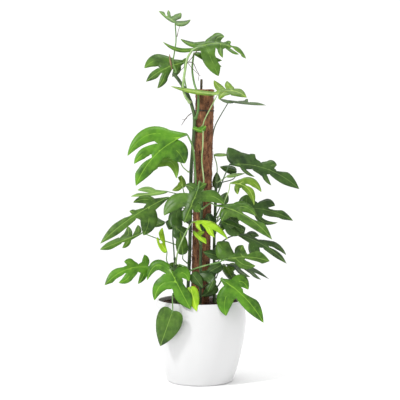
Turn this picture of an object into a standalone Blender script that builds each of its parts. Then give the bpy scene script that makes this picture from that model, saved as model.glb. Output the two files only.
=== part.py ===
"""Split-leaf climbing plant on a coir pole, planted in a round white pot.

Units in the tables are millimetres, +Z is up, +X is the plant's right and -Y its front.
The origin is the centre of the pot's underside. Every leaf is drawn as it looks from the
front: offsets to the right and up from the point where the blade meets its stalk. Its lean
says how far the blade runs back for each millimetre to the right and each millimetre up.
"""

import math
from collections import namedtuple

import bmesh
import bpy
from mathutils import Euler, Vector

MM = 0.001
GAP = 0.3                   # clearance between pieces that touch

# Pot
POT_HEIGHT = 265
POT_RIM_RADIUS = 139
POT_BELLY_RADIUS = 150
POT_BELLY_HEIGHT = 200
POT_BASE_RADIUS = 106
POT_FOOT_ROUNDING = 9
POT_WALL = 5
POT_FLOOR = 7

# Soil, pole and its core
SOIL_DROP = 13              # soil surface below the rim
POLE_RADIUS = 30
POLE_LENGTH = 693           # above the soil
POLE_BURIED = 150
POLE_LEAN = 16              # sideways lean of the top over the exposed length
CORE_RADIUS = 4
CORE_OFFSET = 12            # the core sits left of the pole's axis
CORE_PROUD = 34             # core showing above the pole
TIE_THICKNESS = 1.6
TIE_WIDTH = 5
TIE_DROP = 68               # below the top of the pole
STEM_BURIED = 30

# Blades and stalks
BLADE_THICKNESS = 1.2
STALK_THICKNESS = 4.5
SLOT_START = 0.2           # where the slots between lobes begin, as a share of lobe length
SLOT_GAP = 2.4              # least width of a slot between two lobes
FULLNESS = 1.5              # lobes are this much wider than the table says, room allowing
END_FULLNESS = 1.25         # the same for the lobe at the leaf's tip
BASE_START = 0.14           # the same for the margin next to the stalk

# The sizes that the leaf and stem places below are drawn for
DRAWN_POT_HEIGHT = 265
DRAWN_SOIL_DROP = 13
DRAWN_POLE_RADIUS = 30
DRAWN_POLE_LENGTH = 693
DRAWN_RIM_RADIUS = 139
DRAWN_BELLY_RADIUS = 150
SPREAD_START = 75           # inside this radius the foliage ignores the rim's size

SOIL_TOP = POT_HEIGHT - SOIL_DROP

Leaf = namedtuple(
    "Leaf", "name base tip width lean stem at via left right bend share fold curl stalk colour",
    defaults=((), (), 0.0, 0.6, 0.18, 0.08, 5, "leaf_mid"))
Lobe = namedtuple("Lobe", "right up width bow peak slot", defaults=(0.1, 0.45, SLOT_START))


def lobes(*rows):
    return tuple(Lobe(*row) for row in rows)


LEAVES = (
    # Crown
    Leaf("leaf_crown_young", (-80, -15, 1160), (-55, 42), 16, (0.2, 1.2), "stem_left", 996,
         ((-87, -12, 1030), (-82, -14, 1065), (-77, -15, 1105)),
         right=lobes((50, 13, 14, 0.2), (18, 38, 18, 0.15), (-24, 46, 8)),
         share=0.5, colour="leaf_mid"),
    Leaf("leaf_crown_left", (-50, 15, 1035), (-124, -65), 22, (0.1, 0.4), "stem_left", 950,
         ((-50, 12, 985),),
         left=lobes((-40, -48, 16), (-87, -86, 17)),
         right=lobes((4, 15, 9), (-130, -20, 30, 0.3)), bend=-0.15, colour="leaf_mid"),
    Leaf("leaf_crown_right", (-25, -30, 1070), (174, -26), 20, (0.1, 0.5), "stem_left", 905,
         ((-48, -38, 925), (-54, -40, 955), (-47, -34, 1010), (-40, -24, 1045)),
         left=lobes((-95, 28, 10, 0.15), (-38, 38, 12), (104, 48, 24, 0.3), (126, 30, 12, 0.2)),
         right=lobes((84, -84, 36, 0), (98, -24, 12), (150, -12, 10)), bend=0.42, share=0.7,
         stalk=9, colour="leaf_mid"),
    Leaf("leaf_crown_under", (-20, -2, 1062), (92, -22), 20, (0.1, 0.5), "stem_left", 852,
         ((-6, -46, 880), (-6, -41, 925), (-18, -24, 962), (-25, -12, 1010)),
         right=lobes((90, -42, 16),), stalk=8, colour="leaf_mid"),
    Leaf("leaf_pole_top", (55, -66, 925), (94, -8), 22, (0.1, 0.8), "stem_left", 815,
         ((8, -52, 828), (16, -56, 850), (42, -64, 900)),
         left=lobes((-150, 30, 11, 0.04), (-10, 50, 16), (32, 48, 16)),
         right=lobes((5, -15, 14),), bend=0.4, stalk=4, colour="leaf_olive"),
    Leaf("leaf_high_right", (95, 15, 910), (120, -15), 12, (0.2, 2.5), "stem_back", 790,
         ((52, 25, 835),),
         left=lobes((-35, 10, 8), (62, 8, 8)), stalk=4,
         colour="leaf_dark"),
    # Middle
    Leaf("leaf_big_left", (-40, -80, 800), (-161, -162), 44, (0.25, 0.15), "stem_front", 582,
         ((-10, -60, 608), (-16, -72, 690), (-22, -74, 755)),
         left=lobes((-8, -92, 44, 0.08),),
         right=lobes((-188, -68, 32, 0.26), (-167, -93, 23, 0.18)), bend=-0.22, share=0.55,
         stalk=7, colour="leaf_fresh"),
    Leaf("leaf_light_left", (-120, -50, 730), (-65, -55), 24, (0.1, 0.8), "stem_left", 680,
         ((-60, -32, 705), (-75, -45, 765), (-100, -52, 772)),
         left=lobes((45, -70, 22, 0.35),), stalk=4, colour="leaf_pale"),
    Leaf("leaf_curly", (10, -70, 810), (-35, 10), 16, (0, 0.5), "stem_front", 621,
         ((12, -56, 655), (6, -58, 715), (9, -66, 765)),
         right=lobes((8, 18, 12),), stalk=5, colour="leaf_fresh"),
    Leaf("leaf_right_high", (95, -45, 705), (221, -79), 34, (-0.1, 0.3), "stem_right", 570,
         ((54, -46, 600), (68, -52, 640), (80, -54, 672)),
         left=lobes((-5, 54, 30, 0, 0.45, 0.7), (82, 32, 28, 0.28), (151, -3, 25, 0.25)),
         right=lobes((80, -40, 8), (132, -67, 11, 0.1)), bend=0.22, share=0.62,
         colour="leaf_dark"),
    Leaf("leaf_right_strip", (45, 5, 735), (55, 0), 12, (0, 2.0), "stem_right", 660,
         ((55, 8, 700),), stalk=4, colour="leaf_pale"),
    Leaf("leaf_right_dark", (120, 60, 680), (-55, 15), 30, (-0.2, 0.6), "stem_back", 620,
         ((60, 60, 640), (110, 68, 655)), stalk=4, colour="leaf_dark"),
    Leaf("leaf_pole_side", (55, 45, 625), (0, 55), 32, (0.3, -0.3), "stem_back", 570,
         ((35, 52, 595),), stalk=4, colour="leaf_dark"),
    Leaf("leaf_right_pale", (85, -45, 665), (60, 10), 12, (0, 2.5), "stem_right", 645,
         ((66, -32, 652),), stalk=4, colour="leaf_pale"),
    Leaf("leaf_right_olive", (95, -78, 645), (76, -69), 20, (-0.1, 0.3), "stem_right", 512,
         ((66, -62, 555), (80, -72, 592), (92, -76, 622)),
         left=lobes((100, -28, 18, 0.25),), right=lobes((25, -35, 12),), bend=0.5,
         share=0.4, stalk=4, colour="leaf_olive"),
    Leaf("leaf_right_deep", (130, -40, 565), (170, -42), 26, (0, 0.25), "stem_right", 520,
         ((90, -36, 555),),
         left=lobes((22, 42, 36), (112, 6, 22, 0.3)), right=lobes((120, -47, 12, 0.25),),
         bend=0.15, share=0.5, stalk=4, colour="leaf_dark"),
    Leaf("leaf_right_front", (50, -98, 575), (175, -104), 32, (-0.1, 0.5), "stem_front", 562,
         ((18, -76, 572), (34, -90, 582)),
         left=lobes((127, -33, 22, 0.22),), right=lobes((19, -48, 24),), bend=0.2, share=0.45,
         colour="leaf_mid"),
    Leaf("leaf_right_shade", (72, -42, 580), (15, 35), 34, (0, 0.3), "stem_right", 540,
         ((62, -38, 562),), stalk=4, colour="leaf_dark"),
    Leaf("leaf_centre", (-5, -105, 630), (-45, -107), 32, (0.05, 0.45), "stem_front", 600,
         ((4, -80, 638), (-2, -100, 652)),
         left=lobes((26, 14, 16, 0.1), (82, -51, 28, 0.18), (5, -74, 22)),
         right=lobes((-42, 10, 20, 0.1), (-108, -85, 34, 0.22)), share=0.6,
         colour="leaf_mid"),
    Leaf("leaf_olive_small", (-55, -60, 630), (-5, 40), 26, (0.2, 0.6), "stem_left", 600,
         ((-50, -44, 612),), left=lobes((-34, -8, 12),), stalk=4, colour="leaf_olive"),
    Leaf("leaf_left_strip", (-105, 20, 615), (-120, -15), 14, (0.1, 2.2), "stem_back", 570,
         ((-55, 42, 600),), right=lobes((-100, 5, 12),), stalk=4, colour="leaf_pale"),
    Leaf("leaf_mid_left", (-100, -70, 600), (-212, -142), 28, (0.2, 0.4), "stem_left", 560,
         ((-70, -48, 588),),
         left=lobes((-78, -118, 36, 0.1),),
         right=lobes((-112, -16, 18, 0.15), (-123, -43, 11, 0.12)), bend=-0.1, share=0.55,
         colour="leaf_mid"),
    Leaf("leaf_dark_centre", (22, -50, 546), (30, -64), 36, (0, 0.2), "stem_front", 505,
         ((16, -45, 522),), right=lobes((-12, -56, 24),), stalk=4, colour="leaf_dark"),
    # Low
    Leaf("leaf_lime_centre", (-25, -125, 525), (112, -54), 18, (0, 0.5), "stem_low_left", 385,
         ((-70, -80, 430), (-48, -112, 485)),
         right=lobes((30, -28, 8), (70, -47, 14)), bend=0.45, share=0.5, colour="leaf_lime"),
    Leaf("leaf_right_mid", (65, -70, 525), (76, -30), 36, (0, 0.4), "stem_right", 480,
         ((58, -58, 505),), right=lobes((60, -45, 24),), stalk=4, colour="leaf_dark"),
    Leaf("leaf_left_behind", (-115, 30, 515), (-50, -15), 20, (0.1, 1.0), "stem_back", 470,
         ((-60, 48, 500),), right=lobes((-90, 10, 18),), stalk=4, colour="leaf_dark"),
    Leaf("leaf_centre_dark", (-85, -85, 510), (42, -30), 38, (0, 0.5), "stem_low_left", 402,
         ((-84, -62, 435), (-87, -76, 480)),
         left=lobes((20, 60, 34),), right=lobes((15, -42, 18),), colour="leaf_dark"),
    Leaf("leaf_small_centre", (-20, -105, 495), (40, -40), 18, (0, 0.5), "stem_front", 450,
         ((-8, -78, 475),), left=lobes((34, -4, 10),), stalk=4, colour="leaf_lime"),
    Leaf("leaf_left_dark", (-185, -45, 485), (-133, -50), 20, (0.15, 0.8), "stem_left", 430,
         ((-85, -30, 448), (-125, -38, 462), (-143, -40, 468)),
         left=lobes((-62, -46, 12),), right=lobes((-16, 24, 14), (-49, 20, 18, 0.2)), stalk=4,
         colour="leaf_mid"),
    Leaf("leaf_right_low", (120, -50, 480), (155, -90), 18, (0.1, 0.8), "stem_right", 440,
         ((88, -46, 468),),
         left=lobes((70, -6, 14, 0.15), (155, -64, 13, 0.15)), right=lobes((75, -80, 24, 0.15),),
         bend=0.15, colour="leaf_dark"),
    Leaf("leaf_yellow_left", (-105, -75, 425), (-35, 45), 26, (0.1, 0.4), "stem_low_left", 370,
         ((-106, -62, 395),), right=lobes((-16, 76, 16, -0.1),), stalk=4, colour="leaf_lime"),
    Leaf("leaf_mid_green", (-55, -48, 415), (-10, 85), 42, (0.1, 0.3), "stem_left", 385,
         ((-55, -40, 400),), stalk=4, colour="leaf_mid"),
    Leaf("leaf_dark_low", (65, -60, 410), (-56, 14), 34, (0, 0.6), "stem_right", 375,
         ((60, -52, 395),), stalk=4, colour="leaf_dark"),
    Leaf("leaf_front_right", (75, -110, 405), (145, -5), 38, (-0.1, 0.3), "stem_left", 358,
         ((-20, -84, 372), (25, -104, 388), (58, -112, 396)),
         left=lobes((-20, 54, 42, 0), (62, 44, 26, 0.2)), right=lobes((100, -19, 20, 0.15),),
         bend=0.15, share=0.5, colour="leaf_mid"),
    Leaf("leaf_dark_lower", (70, -75, 385), (-54, -28), 38, (0, 0.5), "stem_right", 345,
         ((60, -62, 368),), stalk=4, colour="leaf_dark"),
    Leaf("leaf_low_dark", (85, 30, 375), (140, -45), 14, (0.2, 1.5), "stem_right", 335,
         ((66, 14, 362),), right=lobes((78, -37, 9), (113, -45, 8)), bend=0.25, stalk=4,
         colour="leaf_dark"),
    Leaf("leaf_low_left", (-155, -60, 375), (-148, -54), 30, (0.2, 0.3), "stem_low_left", 335,
         ((-115, -50, 362),),
         left=lobes((-43, -51, 15), (-104, -46, 19, 0.22)),
         right=lobes((-24, 40, 16), (-88, 18, 19, 0.32)), bend=-0.28, share=0.55,
         colour="leaf_fresh"),
    Leaf("leaf_rim_left", (-95, -120, 375), (66, -123), 42, (0, 0.35), "stem_low_left", 318,
         ((-90, -72, 345), (-92, -98, 372)),
         left=lobes((61, -37, 26, 0.45),),
         right=lobes((-72, -35, 22, 0.45), (-48, -97, 28, 0.27)), share=0.45,
         colour="leaf_fresh"),
    Leaf("leaf_small_low", (-25, -100, 360), (34, -44), 40, (0, 0.4), "stem_front", 322,
         ((-10, -78, 345),), stalk=4, colour="leaf_dark"),
    Leaf("leaf_rim_right", (65, -120, 345), (134, -135), 38, (0, 0.35), "stem_right", 300,
         ((62, -60, 322), (70, -98, 345)),
         left=lobes((87, -34, 28, 0.4),), right=lobes((17, -114, 36, 0.15),), bend=0.14,
         share=0.45, colour="leaf_fresh"),
    Leaf("leaf_low_grey", (45, -100, 342), (-20, -40), 26, (0, 0.3), "stem_front", 308,
         ((34, -78, 330),), right=lobes((-50, 15, 26),), share=0.5, stalk=4,
         colour="leaf_dark"),
    Leaf("leaf_rim_lime", (-30, -122, 320), (20, -75), 44, (0, 0.42), "stem_front", 276,
         ((-14, -82, 300), (-24, -106, 318)), stalk=4, colour="leaf_lime"),
    Leaf("leaf_soil_dark", (55, -70, 315), (-50, -30), 38, (0, 0.6), "stem_right", 282,
         ((55, -56, 302),), stalk=4, colour="leaf_dark"),
    Leaf("leaf_rim_heart", (-85, -160, 250), (-40, -115), 88, (-0.5, 0.1), "stem_low_left", 272,
         ((-84, -70, 286), (-86, -112, 297), (-86, -148, 285)), stalk=5, colour="leaf_mid"),
    # Back
    Leaf("leaf_back_left", (-60, 85, 560), (-45, -75), 38, (0.2, -0.3), "stem_back", 510,
         ((-30, 68, 545),), left=lobes((25, -60, 24, 0.2),), right=lobes((-55, -10, 24, 0.2),),
         colour="leaf_dark"),
    Leaf("leaf_back_right", (90, 85, 540), (55, -75), 38, (-0.2, -0.3), "stem_back", 490,
         ((50, 66, 525),), left=lobes((55, -15, 24, 0.2),), right=lobes((-15, -60, 24, 0.2),),
         colour="leaf_dark"),
    Leaf("leaf_back_low_left", (-70, 95, 370), (-20, -60), 36, (0.2, -0.6), "stem_back", 330,
         ((-35, 70, 358),), right=lobes((-40, -15, 22, 0.2),), colour="leaf_mid"),
    Leaf("leaf_back_low_right", (80, 95, 370), (45, -75), 36, (-0.2, -0.6), "stem_back", 315,
         ((40, 72, 352),), left=lobes((50, -12, 20, 0.2),), colour="leaf_mid"),
)


# Leaves whose lobes cross each other; a union with a bead inside the stalk makes each of
# them one clean skin.
CLOSE_LOBED = {"leaf_crown_young", "leaf_lime_centre", "leaf_low_dark", "leaf_small_centre"}


# ---------------------------------------------------------------- fitting to the sizes

def pole_axis(height):
    """The pole's axis at a height above the floor, in millimetres."""
    return Vector((POLE_LEAN * (height - SOIL_TOP) / POLE_LENGTH, 0, height))


def fitted(point):
    """Moves a drawn point, in millimetres, to suit the pot and pole as they are sized."""
    x, y, z = point
    above = z - DRAWN_POT_HEIGHT
    if above > 0:
        above *= (POLE_LENGTH - SOIL_DROP) / (DRAWN_POLE_LENGTH - DRAWN_SOIL_DROP)
    height = POT_HEIGHT + above
    radius = math.hypot(x, y)
    if radius < 1e-6:
        return Vector((x, y, height))
    spread = min(max((radius - SPREAD_START) / (DRAWN_RIM_RADIUS - SPREAD_START), 0), 1)
    wider = max(POT_RIM_RADIUS - DRAWN_RIM_RADIUS, POT_BELLY_RADIUS - DRAWN_BELLY_RADIUS)
    outward = POLE_RADIUS - DRAWN_POLE_RADIUS + spread * wider
    grown = (radius + outward) / radius
    return Vector((x * grown, y * grown, height))


def smooth_path(points, steps):
    """Reads a Catmull-Rom curve through the points, `steps` to each stretch."""
    ends = [2 * points[0] - points[1], *points, 2 * points[-1] - points[-2]]
    path = []
    for before, start, end, after in zip(ends, ends[1:], ends[2:], ends[3:]):
        for step in range(steps):
            t = step / steps
            path.append(0.5 * (2 * start + (end - before) * t
                               + (2 * before - 5 * start + 4 * end - after) * t ** 2
                               + (3 * start - before - 3 * end + after) * t ** 3))
    return [*path, points[-1]]


# ---------------------------------------------------------------- scene helpers

def clear_scene():
    for item in list(bpy.data.objects):
        bpy.data.objects.remove(item, do_unlink=True)


def collection(name):
    group = bpy.data.collections.new(name)
    bpy.context.scene.collection.children.link(group)
    return group


def material(name, colour, roughness):
    made = bpy.data.materials.new(name)
    made.use_nodes = True
    shader = made.node_tree.nodes["Principled BSDF"]
    shader.inputs["Base Color"].default_value = (*colour, 1)
    shader.inputs["Roughness"].default_value = roughness
    return made


def add_object(name, data, group, surface):
    item = bpy.data.objects.new(name, data)
    group.objects.link(item)
    if surface:
        data.materials.append(surface)
    return item


def tube(name, path, radius, group, surface, taper=1.0):
    """A round stem along a path in millimetres, thinning to `taper` at its far end."""
    curve = bpy.data.curves.new(name, "CURVE")
    curve.dimensions = "3D"
    curve.bevel_depth = radius * MM
    curve.bevel_resolution = 2
    curve.use_fill_caps = True
    spline = curve.splines.new("POLY")
    spline.points.add(len(path) - 1)
    for index, point in enumerate(path):
        spline.points[index].co = (*(point * MM), 1)
        spline.points[index].radius = 1 + (taper - 1) * index / (len(path) - 1)
    return add_object(name, curve, group, surface)


def cylinder(name, radius, height, sides, group, surface=None):
    """A cylinder that stands on the origin, in millimetres."""
    mesh = bpy.data.meshes.new(name)
    bm = bmesh.new()
    bmesh.ops.create_cone(bm, cap_ends=True, segments=sides, radius1=radius * MM,
                          radius2=radius * MM, depth=height * MM)
    bmesh.ops.translate(bm, verts=bm.verts, vec=(0, 0, height / 2 * MM))
    bm.to_mesh(mesh)
    bm.free()
    mesh.shade_smooth()
    mesh.set_sharp_from_angle(angle=math.radians(40))
    return add_object(name, mesh, group, surface)


def turned(name, profile, steps, group, surface):
    """A profile of (radius, height) pairs, listed top to bottom outside, turned about Z."""
    mesh = bpy.data.meshes.new(name)
    points = [(radius * MM, 0, height * MM) for radius, height in profile]
    mesh.from_pydata(points, [(i, i + 1) for i in range(len(points) - 1)], [])
    item = add_object(name, mesh, group, surface)
    screw = item.modifiers.new("Turn", "SCREW")
    screw.steps = steps
    screw.render_steps = steps
    screw.use_merge_vertices = True
    screw.merge_threshold = 0.0001
    screw.use_smooth_shade = True
    return item


def ball(name, centre, radius, group):
    """A small faceted ball that another piece is joined with, in millimetres."""
    mesh = bpy.data.meshes.new(name)
    bm = bmesh.new()
    bmesh.ops.create_icosphere(bm, subdivisions=1, radius=radius * MM)
    bmesh.ops.translate(bm, verts=bm.verts, vec=centre * MM)
    bm.to_mesh(mesh)
    bm.free()
    item = add_object(name, mesh, group, None)
    item.hide_render = True
    item.display_type = "WIRE"
    return item


def cut(item, cutter):
    cutter.hide_render = True
    cutter.display_type = "WIRE"
    cutting = item.modifiers.new("Hole", "BOOLEAN")
    cutting.operation = "DIFFERENCE"
    cutting.solver = "EXACT"
    cutting.object = cutter


# ---------------------------------------------------------------- pot, soil and pole

def wall_profile(inset, bottom):
    """Outside of the pot from rim to foot, moved in by `inset` and ending at `bottom`."""
    rim, belly, foot = POT_RIM_RADIUS, POT_BELLY_RADIUS, POT_BASE_RADIUS
    shoulder = POT_HEIGHT - POT_BELLY_HEIGHT
    points = [(rim - inset, POT_HEIGHT)]
    for step in range(1, 6):
        turn = step / 5
        rise = shoulder * (1 - turn)
        points.append((belly - (belly - rim) * (1 - turn) ** 2 - inset, POT_BELLY_HEIGHT + rise))
    for step in range(1, 8):
        drop = step / 7
        height = POT_BELLY_HEIGHT - (POT_BELLY_HEIGHT - bottom) * drop
        share = 1 - height / POT_BELLY_HEIGHT
        points.append((belly - (belly - foot) * share ** 1.7 - inset, height))
    return points


def build_pot(group, surface):
    outer = wall_profile(0, POT_FOOT_ROUNDING)
    foot = outer[-1][0]
    rounding = [(foot - POT_FOOT_ROUNDING * (1 - math.cos(turn)),
                 POT_FOOT_ROUNDING * (1 - math.sin(turn)))
                for turn in (math.radians(a) for a in (30, 60, 90))]
    inner = wall_profile(POT_WALL, POT_FLOOR)
    lip = [(outer[0][0] - POT_WALL * 0.8, POT_HEIGHT), (outer[0][0] - POT_WALL * 0.2, POT_HEIGHT)]
    inner[0] = (inner[0][0], POT_HEIGHT - 1)
    outer[0] = (outer[0][0], POT_HEIGHT - 1)
    inside = [(0, POT_FLOOR), *reversed(inner)]
    return turned("pot", [*inside, *lip, *outer, *rounding, (0, 0)], 48, group, surface)


def build_pole(group, cutters, surfaces):
    tilt = Euler((0, math.atan(POLE_LEAN / POLE_LENGTH), 0))
    foot = pole_axis(SOIL_TOP - POLE_BURIED) * MM
    length = POLE_BURIED + POLE_LENGTH
    pole = cylinder("coir_pole", POLE_RADIUS, length, 20, group, surfaces["coir"])
    bore = cylinder("cut_core_bore", CORE_RADIUS + GAP, length + 20, 12, cutters)
    core = cylinder("pole_core", CORE_RADIUS, length + CORE_PROUD, 12, group, surfaces["wood"])
    for item, sideways, down in ((pole, 0, 0), (bore, CORE_OFFSET, 10), (core, CORE_OFFSET, 0)):
        item.rotation_euler = tilt
        item.location = foot + tilt.to_matrix() @ Vector((-sideways, 0, -down)) * MM
    cut(pole, bore)
    socket = cylinder("cut_pole_socket", POLE_RADIUS + GAP, POLE_BURIED + 30, 20, cutters)
    socket.rotation_euler = tilt
    socket.location = foot - Vector((0, 0, GAP)) * MM
    inner = POLE_RADIUS + GAP
    outer = inner + TIE_THICKNESS
    half = TIE_WIDTH / 2
    tie = turned("pole_tie", [(outer, half), (outer, -half), (inner, -half), (inner, half),
                              (outer, half)], 24, group, surfaces["tie"])
    tie.rotation_euler = tilt
    tie.location = pole_axis(SOIL_TOP + POLE_LENGTH - TIE_DROP) * MM
    return socket


def build_soil(group, surface, sockets):
    profile = wall_profile(POT_WALL + GAP, POT_FLOOR + GAP)
    wall = [(radius, height) for radius, height in profile if height < SOIL_TOP - 1]
    rim = min(radius for radius, height in profile[:3])
    mound = [(0, SOIL_TOP), (rim * 0.5, SOIL_TOP), (rim - 6, SOIL_TOP - 1)]
    soil = turned("soil", [*mound, *wall, (0, POT_FLOOR + GAP)], 40, group, surface)
    for socket in sockets:
        cut(soil, socket)
    return soil


# ---------------------------------------------------------------- stems and roots

Stem = namedtuple("Stem", "name radius beside free")

STEMS = (
    # beside: (angle round the pole, stand-off, drawn height); free: points past the pole
    Stem("stem_left", 6, ((205, 6, 252), (205, 6, 300), (202, 2, 420), (200, 2, 560),
                          (200, 3, 680), (208, 0, 780), (214, 0, 850)),
         ((-25, -18, 888), (-38, -14, 925), (-63, -10, 968), (-86, -8, 998))),
    Stem("stem_front", 5, ((270, 8, 252), (270, 6, 300), (268, 2, 420), (266, 1, 540),
                           (266, 1, 622)), ()),
    Stem("stem_low_left", 5, (), ((-78, -34, 252), (-78, -36, 290), (-80, -38, 350),
                                  (-80, -42, 405))),
    Stem("stem_right", 5, ((350, 10, 252), (350, 8, 320), (348, 5, 460), (350, 6, 580),
                           (0, 6, 670)), ()),
    Stem("stem_back", 5, ((85, 8, 252), (88, 4, 340), (90, 2, 500), (80, 2, 660),
                          (60, 2, 800)), ()),
)

ROOTS = (
    ("root_upper", 1.6, ((-28, -30, 868), (-40, -32, 858), (-52, -28, 842), (-60, -26, 830))),
    ("root_low", 1.8, ((-45, -34, 478), (-52, -42, 470), (-60, -40, 462), (-64, -46, 448))),
)


def beside_pole(angle, stand_off, height, radius):
    """Centre of a stem that runs beside the pole, clear of the tie."""
    turn = math.radians(angle)
    reach = POLE_RADIUS + TIE_THICKNESS + 2 * GAP + radius + stand_off
    grown = fitted((0, 0, height))
    return pole_axis(grown.z) + Vector((math.cos(turn), math.sin(turn), 0)) * reach


def stem_path(stem):
    points = [beside_pole(*place, stem.radius) for place in stem.beside]
    points += [fitted(place) for place in stem.free]
    buried = points[0] - Vector((0, 0, STEM_BURIED))
    return [buried, *smooth_path(points, 3)]


def build_stems(group, cutters, surface):
    paths, sockets = {}, []
    for stem in STEMS:
        path = stem_path(stem)
        paths[stem.name] = (path, stem.radius)
        tube(stem.name, path, stem.radius, group, surface)
        socket = cylinder("cut_" + stem.name, stem.radius + 2 * GAP, STEM_BURIED + 20, 16, cutters)
        socket.location = (path[0] - Vector((0, 0, GAP))) * MM
        sockets.append(socket)
    return paths, sockets


def build_roots(group, surface):
    for name, radius, places in ROOTS:
        path = smooth_path([fitted(place) for place in places], 2)
        tube(name, path, radius, group, surface, taper=0.5)


def stalk_foot(paths, stem_name, height, toward):
    """Where a stalk leaves its stem: on the stem's surface, then a little way straight out."""
    path, radius = paths[stem_name]
    centre = min(path[1:], key=lambda point: abs(point.z - height))
    for start, end in zip(path[1:], path[2:]):
        if (start.z - height) * (end.z - height) <= 0 and start.z != end.z:
            centre = start.lerp(end, (height - start.z) / (end.z - start.z))
            along = (end - start).normalized()
            break
    else:
        along = (path[-1] - path[-2]).normalized()
    out = toward - centre
    out = (out - along * out.dot(along)).normalized()
    return centre + out * (radius + 2 * GAP), centre + out * (radius + STALK_THICKNESS)


# ---------------------------------------------------------------- leaves

def curve_point(start, control, end, t):
    return start * (1 - t) ** 2 + control * (2 * t * (1 - t)) + end * t ** 2


def across(start, control, end, t):
    """Unit vector to the left of a curve's direction."""
    along = (control - start) * (1 - t) + (end - control) * t
    return Vector((-along.y, along.x)).normalized()


def free_line(start, control, end, first):
    """Points along a vein, from the share of it where its lobe comes free to its tip."""
    return [curve_point(start, control, end, first + (1 - first) * step / 12)
            for step in range(13)]


def room(point, line, half):
    """A half-width, made less where the line of a neighbouring vein is close."""
    if not line:
        return half
    nearest = half * 2 + 2 * SLOT_GAP
    for low, high in zip(line, line[1:]):
        span = high - low
        along = min(max((point - low).dot(span) / span.length_squared, 0), 1)
        nearest = min(nearest, (low + span * along - point).length)
    return min(half, max(nearest / 2 - SLOT_GAP / 2, SLOT_GAP / 2))


def eased(t):
    t = min(max(t, 0), 1)
    return t * t * (3 - 2 * t)


def lobe_profile(t, peak):
    """Half-width of a lobe along its vein, as a share of its widest half-width."""
    rise = 0.6 + 0.4 * math.sin(min(t / peak, 1) * math.pi / 2)
    fall = max(t - peak, 0) / (1 - peak)
    return rise * (1 - fall ** (1.2 + 1.6 * peak)) ** 0.85


class Blade:
    """One leaf's outline in its front view, x to the right and y up, from its base."""

    def __init__(self, leaf):
        self.leaf = leaf
        self.tip = Vector(leaf.tip)
        self.base = Vector((0, 0))
        normal = Vector((-self.tip.y, self.tip.x))
        self.control = self.tip / 2 + normal * leaf.bend

    def midrib(self, u):
        return curve_point(self.base, self.control, self.tip, u)

    def side_normal(self, u, side):
        return across(self.base, self.control, self.tip, u) * side

    def half(self, side):
        """Roots, veins and slot ends of the lobes on one side (+1 left, -1 right)."""
        rows = self.leaf.left if side > 0 else self.leaf.right
        total = sum(lobe.width for lobe in rows) or 1
        share = self.leaf.share if rows else 0
        cuts = [0.0]
        for lobe in rows:
            cuts.append(round(cuts[-1] + share * lobe.width / total, 2))
        veins = []
        for lobe, low, high in zip(rows, cuts, cuts[1:]):
            root = self.midrib((low + high) / 2)
            tip = Vector((lobe.right, lobe.up))
            reach = tip - root
            bulge = Vector((-reach.y, reach.x)) * (side * lobe.bow)
            veins.append((root, root + reach * 0.45 + bulge * 2, tip, lobe))
        free = [free_line(*vein[:3], vein[3].slot) for vein in veins]
        end_lobe = [self.midrib(cuts[-1] + (1 - cuts[-1]) * step / 12) for step in range(2, 13)]
        beside = [None, *free, end_lobe]
        veins = [(*vein, beside[index], beside[index + 2]) for index, vein in enumerate(veins)]
        ends = []
        for index, cut_at in enumerate(cuts):
            near = []
            if index > 0:
                near.append(self.lobe_edge(veins[index - 1], veins[index - 1][3].slot, side, 1))
            if index < len(rows):
                slot = veins[index - 1][3].slot if index else BASE_START
                near.append(self.lobe_edge(veins[index], slot, side, -1))
            elif rows:
                near.append(self.midrib(cut_at)
                            + self.side_normal(cut_at, side) * self.leaf.width * 0.45)
            ends.append(sum(near, Vector((0, 0))) / len(near) if near else Vector((0, 0)))
        return cuts, veins, ends

    def lobe_edge(self, vein, t, side, toward_tip):
        """A point on a lobe's margin; toward_tip is +1 on the side of the leaf's tip."""
        start, control, end, lobe, before, after = vein
        middle = curve_point(start, control, end, t)
        out = across(start, control, end, t) * (-side * toward_tip)
        half = lobe.width * FULLNESS / 2 * lobe_profile(t, lobe.peak)
        return middle + out * room(middle, after if toward_tip > 0 else before, half)

    def terminal_edge(self, cut_at, end, t, side, beside):
        """A point on the margin of the leaf's end lobe."""
        u = cut_at + (1 - cut_at) * t
        if cut_at == 0:
            return self.heart_edge(t, side)
        fall = max(t - 0.35, 0) / 0.65
        half = self.leaf.width * END_FULLNESS / 2 * (0.9 + 0.1 * math.sin(min(t / 0.35, 1) * math.pi / 2))
        half = room(self.midrib(u), beside, half * (1 - fall ** 1.7))
        edge = self.midrib(u) + self.side_normal(u, side) * half
        start = self.midrib(cut_at) + self.side_normal(cut_at, side) * self.leaf.width * 0.45
        return edge + (end - start) * (1 - eased(t / 0.5))

    def heart_edge(self, t, side):
        """Margin of an undivided half: a round ear at the base, then a long curve."""
        along = self.tip.normalized()
        wide = Vector((-along.y, along.x)) * (side * self.leaf.width * 0.62)
        ear = wide - along * self.leaf.width ** 2 * EAR_GROWTH
        flank = wide + self.tip * 0.55
        return (ear * 3 * t * (1 - t) ** 2 + flank * 3 * t ** 2 * (1 - t) + self.tip * t ** 3)

    def placed(self, flat):
        """The front-view point in space, in millimetres, with the blade's lean and fold."""
        leaf = self.leaf
        length = self.tip.length
        offset = abs(self.tip.x * flat.y - self.tip.y * flat.x) / length
        depth = leaf.lean[0] * flat.x + leaf.lean[1] * flat.y
        depth += leaf.fold * offset + leaf.curl * flat.length ** 2 / length
        bx, by, bz = leaf.base
        return Vector((bx + flat.x, by + depth, bz + flat.y))


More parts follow.
